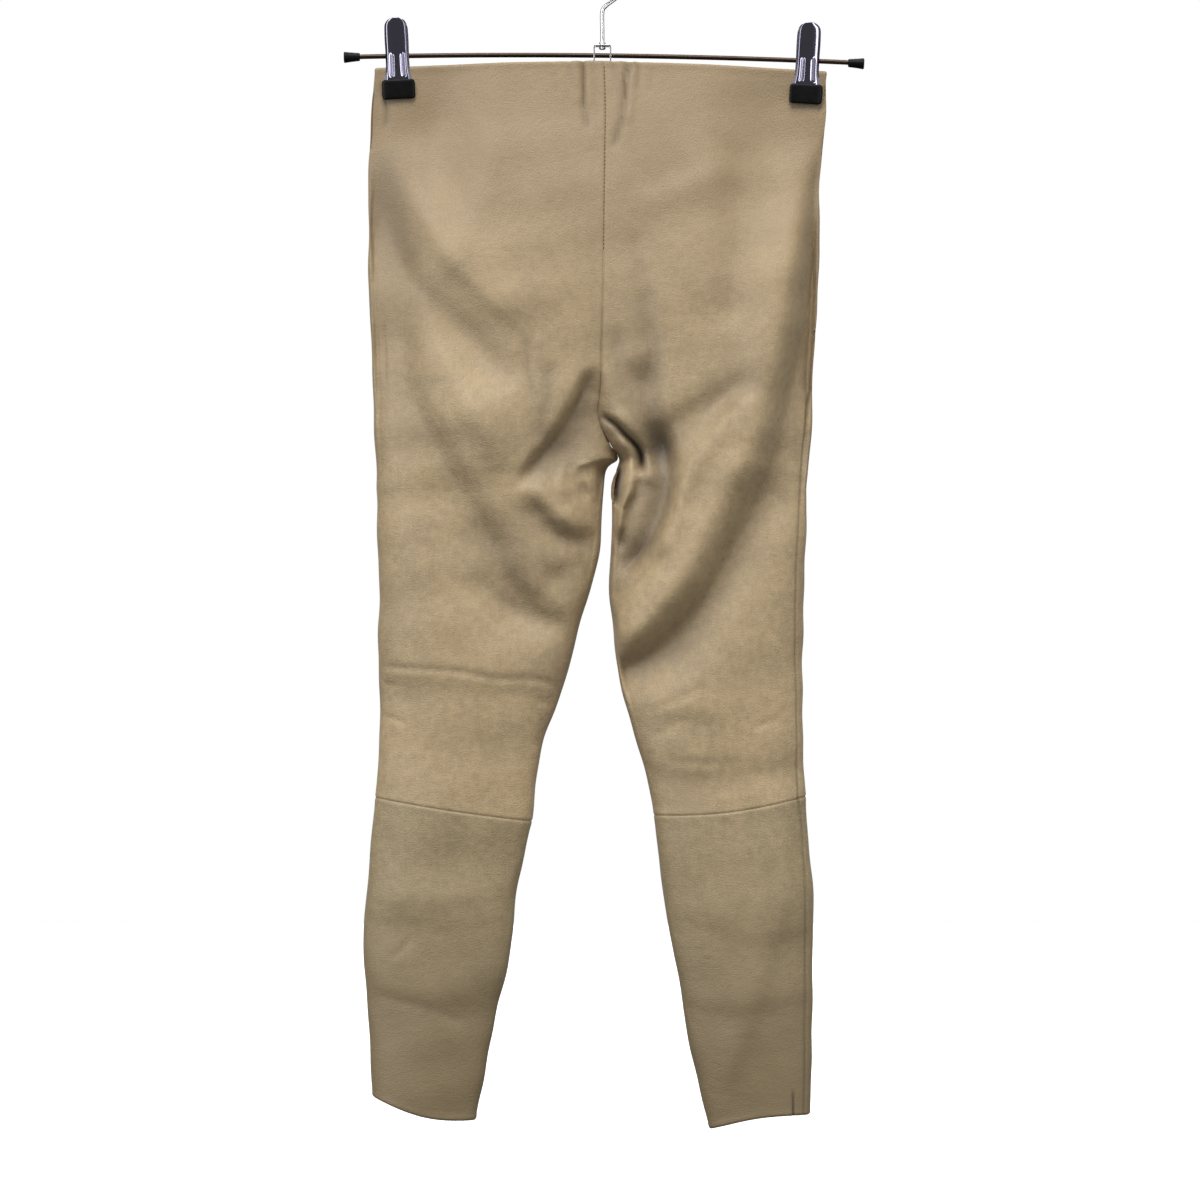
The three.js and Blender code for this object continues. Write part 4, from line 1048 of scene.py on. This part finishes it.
# %% Jaws and pads
JAW_COLUMNS = ("height", "stand", "half_width")
JAW = named_columns(JAW_COLUMNS, [
    (33.6, 12.4, 0.6), (33.1, 12.3, 3.8), (31.8, 12.0, 6.6), (29.6, 11.7, 8.8), (26.5, 11.2, 10.0),
    (20, 10.0, 10.4), (12, 8.6, 10.5), (3, 7.0, 10.4), (-8, 6.0, 10.5), (-14, 5.6, 10.9),
    (-19, 5.2, 11.9), (-21.6, 4.9, 12.3), (-30, 4.9, 12.1),
])
JAW_GRID = (110, 49)  # rows and columns of points
JAW_CROWN, JAW_THICK = 1.3, 0.9
JAW_SIDE = {"from": 0.82, "turn": 1.6, "full_crown": 8, "sink": 0.6}
RIB = {"at": 0.42, "width": 0.13, "height": 1.0, "top": 2.5, "foot": -20.5, "ends": 2.5}
PAD = {"half_width": 14.9, "top": -21.6, "foot": -39.2, "inside": 2.2, "corner": 3.4}
# Rings of a pad from its inside to its outside: how far out, and how far in from its edge.
PAD_RINGS = ((0, 0.3), (0.3, 0), (3.4, 0), (4.1, 0.25), (4.5, 0.9), (4.75, 2.4), (4.85, 5.5))
EAR = {"radius": 4.4, "thick": 1.0, "points": 12, "near_x": 8.6, "far_x": 7.2}


def jaw_blade(facing):
    """The pressed blade of a jaw, closed, with its outside towards facing."""
    table = np.stack([JAW[column] for column in JAW_COLUMNS], axis=1)
    rows = read_column(table, np.linspace(0, len(table) - 1, JAW_GRID[0]))
    height, stand, half_width = (rows[:, k:k + 1] for k in range(3))
    share = np.sin(np.linspace(-np.pi / 2, np.pi / 2, JAW_GRID[1]))
    past = np.maximum(0, np.abs(share) - JAW_SIDE["from"]) / (1 - JAW_SIDE["from"])
    crown = JAW_CROWN * (1 - share ** 2) - JAW_SIDE["turn"] * past
    ends = smooth((RIB["top"] - height) / RIB["ends"]) * smooth((height - RIB["foot"]) / RIB["ends"])
    ribs = sum(np.exp(-((share - side * RIB["at"]) / RIB["width"]) ** 2) for side in (-1, 1))
    narrow = np.clip(half_width / JAW_SIDE["full_crown"], 0, 1)
    out = stand - JAW_CROWN * JAW_SIDE["sink"] + crown * narrow + RIB["height"] * ribs * ends
    points = np.stack([half_width * share, facing * out, height + 0 * share], axis=-1)
    mesh = bmesh.new()
    outside = vertex_rows(mesh, points)
    inside = vertex_rows(mesh, points - [0, facing * JAW_THICK, 0])
    join_rows(mesh, outside, around=False)
    join_rows(mesh, inside, around=False)
    for end in (0, -1):
        join_rows(mesh, [[row[end] for row in grid] for grid in (outside, inside)], around=False)
        join_rows(mesh, [outside[end], inside[end]], around=False)
    return mesh


def ear(facing, x):
    """A lug that ties a jaw to the bar."""
    turns = np.linspace(0.3, math.pi, EAR["points"])
    outline = [(-6.6, 5.5), (0, EAR["radius"])]
    outline += [(EAR["radius"] * math.sin(turn), EAR["radius"] * math.cos(turn)) for turn in turns]
    outline += [(-5.6, -5.5)]
    return rings_mesh([[(x + side * EAR["thick"] / 2, -facing * y, z) for y, z in outline]
                       for side in (-1, 1)])


def pad_block(facing):
    """A rubber pad: a block with round corners and a slightly crowned face."""
    corner, side_x = PAD["corner"], PAD["half_width"] - PAD["corner"]
    high, low = PAD["top"] - corner, PAD["foot"] + corner
    outline = []
    for x, z, start in ((side_x, high, 0), (-side_x, high, 90), (-side_x, low, 180), (side_x, low, 270)):
        outline += arc(x, z, corner, start, step=15)
    middle = Vector((0, (PAD["top"] + PAD["foot"]) / 2))
    rings = []
    for out, inset in PAD_RINGS:
        spots = [Vector(p) - (Vector(p) - middle).normalized() * inset for p in outline]
        rings.append([(spot.x, facing * (PAD["inside"] + out), spot.y) for spot in spots])
    return rings_mesh(rings)


CLIPS = (("left", -185.1, -2.6), ("right", 184.1, 3.2))
for side, x, lean in CLIPS:
    place = shift(x, 0, bar_at(x)) @ Matrix.Rotation(math.radians(lean), 4, "Y")
    for which, facing, ear_x in (("near", -1, EAR["near_x"]), ("far", 1, EAR["far_x"])):
        parts = [moved(part, place) for part in (jaw_blade(facing), ear(facing, -ear_x), ear(facing, ear_x))]
        jaw = solid_piece(f"chrome_jaw_{side}_{which}", parts, chrome, sharp=35)
        pad = solid_piece(f"rubber_pad_{side}_{which}", [moved(pad_block(facing), place)], black_rubber)
        hanger[f"clip_{side}_{which}_jaw"] = jaw
        hanger[f"clip_{side}_{which}_pad"] = pad
print("jaws and pads:", len(CLIPS) * 4)

# %% [markdown]
# ## The springs
# A coil of wire on the bar presses the jaws shut. A helix is just what Geometry Nodes
# are good at: a Spiral curve, a round section swept along it, and a material. The sizes
# are inputs of the tree, so both clips share it.

# %% Spring coils with Geometry Nodes
SPRING = {"radius": 3.5, "half_length": 5.5, "wire": 0.9, "turns": 9.0}


def geometry_tree(name, inputs):
    """A Geometry Nodes tree with named inputs: its recipe, and each input as a signal."""
    tree = bpy.data.node_groups.new(name, "GeometryNodeTree")
    recipe = Recipe(tree)
    for label, kind in {"Geometry": "Geometry", **inputs}.items():
        tree.interface.new_socket(label, in_out="INPUT", socket_type="NodeSocket" + kind)
    tree.interface.new_socket("Geometry", in_out="OUTPUT", socket_type="NodeSocketGeometry")
    inside = tree.nodes.new("NodeGroupInput")
    return recipe, {label: Signal(recipe, inside.outputs[label]) for label in ("Geometry", *inputs)}


def end_tree(recipe, geometry, finish):
    """Ends a tree with real geometry that has its finish."""
    real = recipe.node("GeometryNodeRealizeInstances", {"Geometry": geometry})
    dressed = recipe.node("GeometryNodeSetMaterial", {"Geometry": real, "Material": finish})
    recipe.node("NodeGroupOutput", {"Geometry": dressed})


def run_tree(piece, recipe, given, values):
    """Runs a tree on a piece with some input values, and gives the result as a mesh."""
    modifier = piece.modifiers.new("shape", "NODES")
    modifier.node_group = recipe.tree
    for label, value in values.items():
        modifier[given[label].socket.identifier] = value
    return plain_mesh(piece)


coil, given = geometry_tree("coil", {
    "Radius": "Float", "Length": "Float", "Turns": "Float", "Wire": "Float", "Finish": "Material"})
helix = coil.node("GeometryNodeCurveSpiral", {
    "Resolution": 24, "Rotations": given["Turns"], "Start Radius": given["Radius"],
    "End Radius": given["Radius"], "Height": given["Length"]})
section = coil.node("GeometryNodeCurvePrimitiveCircle", {"Resolution": 8, "Radius": given["Wire"]})
swept = coil.node("GeometryNodeCurveToMesh", {
    "Curve": helix, "Profile Curve": section, "Fill Caps": True})
end_tree(coil, swept, given["Finish"])

for side, x, lean in CLIPS:
    spring = new_piece(f"spring_{side}", bpy.data.meshes.new("seed"))
    mesh = run_tree(spring, coil, given, {
        "Radius": SPRING["radius"] * MM, "Length": 2 * SPRING["half_length"] * MM,
        "Turns": SPRING["turns"], "Wire": SPRING["wire"] / 2 * MM, "Finish": dark_steel})
    along_bar = Matrix.Rotation(math.pi / 2, 4, "Y")
    mesh.transform(shift(x - SPRING["half_length"], 0, bar_at(x)) @ along_bar)
    mesh.shade_smooth()
    spring.data = mesh
    hanger[f"clip_{side}_spring"] = spring
    print(spring.name, "faces", len(mesh.polygons))

# %% [markdown]
# ## Stitches of the centre seam
# Brown thread shows as short dashes in the valley of the centre back seam, where the
# seat was reinforced. A curve follows the seam, Geometry Nodes spread small capsules
# along it at the stitch pitch, and each is turned to lie along the curve.

# %% Stitches with Geometry Nodes
STITCH = {"pitch": 3.4, "length": 2.5, "thread": 0.8, "lift": 0.1}
STITCH_DROPS = (6, 172)
STITCH_LEVELS = (0, 3)
SEAM_STEP = 2

stitch, given = geometry_tree("stitches", {
    "Pitch": "Float", "Length": "Float", "Thread": "Float", "Finish": "Material"})
spread = stitch.node("GeometryNodeResampleCurve", {
    "Curve": given["Geometry"], "Length": given["Pitch"]}, mode="LENGTH")
bead = stitch.node("GeometryNodeMeshUVSphere", {"Segments": 8, "Rings": 6, "Radius": 0.5})
size = stitch.node("ShaderNodeCombineXYZ", {
    "X": given["Thread"], "Y": given["Thread"], "Z": given["Length"]})
capsule = stitch.node("GeometryNodeTransform", {"Geometry": bead, "Scale": size})
tangent = stitch.node("GeometryNodeInputTangent")
turned = stitch.node("FunctionNodeAlignRotationToVector", {"Vector": tangent}, axis="Z")
placed = stitch.node("GeometryNodeInstanceOnPoints", {
    "Points": spread, "Instance": capsule, "Rotation": turned})
end_tree(stitch, placed, given["Finish"])

rows = level_rows(LEFT, *STITCH_LEVELS, SEAM_STEP)
points, drop, _ = outer_face(LEFT, BACK, [0.0], rows)
points[..., 1] += SEAM["depth"] - STITCH["lift"] - ripples(points[..., 0], drop)
chosen = points[(drop > STITCH_DROPS[0]) & (drop < STITCH_DROPS[1])]
curve = bpy.data.curves.new("seam", "CURVE")
curve.dimensions = "3D"
spline = curve.splines.new("POLY")
spline.points.add(len(chosen) - 1)
spline.points.foreach_set("co", np.pad(chosen * MM, ((0, 0), (0, 1)), constant_values=1).ravel())
seam_line = add_object("seam", curve)
mesh = run_tree(seam_line, stitch, given, {
    "Pitch": STITCH["pitch"] * MM, "Length": STITCH["length"] * MM, "Thread": STITCH["thread"] * MM,
    "Finish": thread_brown})
bpy.data.objects.remove(seam_line)
stitches = new_piece("centre_back_stitches", mesh)
stitches.data.shade_smooth()
print("stitch faces:", len(mesh.polygons))

# %% [markdown]
# ## Tying the pieces to the model
# Every piece rides on the one body, and the CAD node that a panel or a part of the
# hanger stands for is hidden. The eight panels are sheets of cloth, and the table gives
# how large each was cut before it was sewn and hung.

# %% Attach the pieces and hide their CAD nodes
CUTS = {
    "back_left_thigh": (0.245, 0.675, 0.148), "back_right_thigh": (0.235, 0.675, 0.140),
    "front_left_thigh": (0.240, 0.670, 0.145), "front_right_thigh": (0.230, 0.665, 0.136),
    "back_left_calf": (0.155, 0.280, 0.038), "back_right_calf": (0.155, 0.290, 0.039),
    "front_left_calf": (0.155, 0.280, 0.038), "front_right_calf": (0.155, 0.290, 0.039),
}
for name, piece in panels.items():
    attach(piece, "root")
    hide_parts(name)
    face_name, side, part = name.split("_")
    if part == "thigh":
        jaw_side = "near" if face_name == "back" else "far"
    width, length, area = CUTS[name]

for name, piece in hanger.items():
    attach(piece, "root")
    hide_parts(name)
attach(stitches, "root")
print("pieces:", len(panels) + len(hanger) + 1)

# %% [markdown]
# ## Camera
# The camera looks straight at the back from four metres with a long lens, so that the
# garment is hardly distorted. What the picture spans, and its middle, come from the size
# of the hanger in the photograph.

# %% Camera
CAMERA_DISTANCE = 4.0
PHOTO_WIDTH = 1.08
PHOTO_CENTRE = (-0.0027, -0.576)
SENSOR = 36
camera_data = bpy.data.cameras.new("camera")
camera_data.sensor_width = SENSOR
camera_data.lens = SENSOR * CAMERA_DISTANCE / PHOTO_WIDTH
camera_data.clip_end = 60  # beyond the far side of the surround
camera = add_object("camera", camera_data)
camera.location = (PHOTO_CENTRE[0], -CAMERA_DISTANCE, PHOTO_CENTRE[1])
camera.rotation_euler = (math.pi / 2, 0, 0)
bpy.context.scene.camera = camera
print("lens in mm:", round(camera_data.lens, 1))

# %% [markdown]
# ## Light
# The key is a broad soft sun from high in front, which draws the folds from above. Two
# weak suns lift the sides, and one behind lights the front of the trousers, for views
# from there. A faint white world fills the shadows.

# %% Light
# Each sun is a name, the direction it comes from, its height and strength, and its spread.
SUNS = (
    ("key", -6, 55, 3.1, 34), ("left_fill", -66, 20, 0.95, 60), ("right_fill", 66, 20, 0.75, 60),
    ("back", 180, 50, 2.2, 50),
)
for name, azimuth, elevation, strength, spread in SUNS:
    sun = bpy.data.lights.new(name, "SUN")
    sun.energy = strength
    sun.angle = math.radians(spread)
    turn, rise = math.radians(azimuth), math.radians(elevation)
    towards = Vector((math.sin(turn) * math.cos(rise), -math.cos(turn) * math.cos(rise), math.sin(rise)))
    lamp = add_object(name, sun)
    lamp.rotation_mode = "QUATERNION"
    lamp.rotation_quaternion = towards.to_track_quat("Z", "Y")
world = bpy.data.worlds.new("studio")
world.use_nodes = True
background = world.node_tree.nodes["Background"].inputs
background["Color"].default_value = (1, 1, 1, 1)
background["Strength"].default_value = 0.2
bpy.context.scene.world = world
bpy.context.scene.view_settings.view_transform = "Standard"
print("suns:", len(SUNS))

# %% [markdown]
# ## Floor and surround
# A pale floor lies well below the hems, and throws no light back at the folds. The
# surround is a large white dome that only the camera sees, so it doesn't flatten the
# light. Two tall white cards are there for the chrome alone, which would otherwise have
# nothing bright to mirror.

# %% Floor and surround
FLOOR_Z = -1.45
DOME_RADIUS = 20
CARD_DISTANCE = 3
# Each card is a name, a turn about the garment, a width, and the heights of its edges.
CARDS = (("card_left", -38, 0.7, -2.4, 2.6), ("card_right", 26, 0.35, -2.4, 2.2))


def glow(name, strength):
    """White that shines evenly."""
    material, recipe = new_material(name)
    finish_material(recipe, {"Color": (1, 1, 1, 1), "Strength": strength}, "ShaderNodeEmission")
    return material


def hide_from(piece, *rays):
    """Makes a piece invisible to some kinds of ray."""
    for ray in rays:
        setattr(piece, f"visible_{ray}", False)


floor_mesh = bmesh.new()
bmesh.ops.create_grid(floor_mesh, x_segments=8, y_segments=8, size=8)
moved(floor_mesh, Matrix.Translation((0, 0, FLOOR_Z)))
floor_paint, floor_recipe = new_material("floor_paint")
finish_material(floor_recipe, {"Base Color": (0.93, 0.93, 0.92, 1), "Roughness": 0.9})
floor = new_piece("floor", mesh_data("floor", floor_mesh), floor_paint)
hide_from(floor, "diffuse", "glossy")

dome_mesh = bmesh.new()
bmesh.ops.create_uvsphere(dome_mesh, u_segments=48, v_segments=24, radius=DOME_RADIUS)
dome = new_piece("surround", mesh_data("surround", dome_mesh), glow("surround_white", 1.0))
hide_from(dome, "diffuse", "glossy", "transmission", "volume_scatter", "shadow")

card_paint = glow("card_white", 9.0)
for name, azimuth, width, low, high in CARDS:
    edges = ((-1, low), (1, low), (1, high), (-1, high))
    card_data = bpy.data.meshes.new(name)
    card_data.from_pydata([(side * width / 2, -CARD_DISTANCE, z) for side, z in edges], [], [(0, 1, 2, 3)])
    card_data.transform(Matrix.Rotation(math.radians(azimuth), 4, "Z"))
    card = new_piece(name, card_data, card_paint)
    hide_from(card, "camera", "diffuse", "transmission", "volume_scatter", "shadow")
print("floor at", FLOOR_Z, "m")
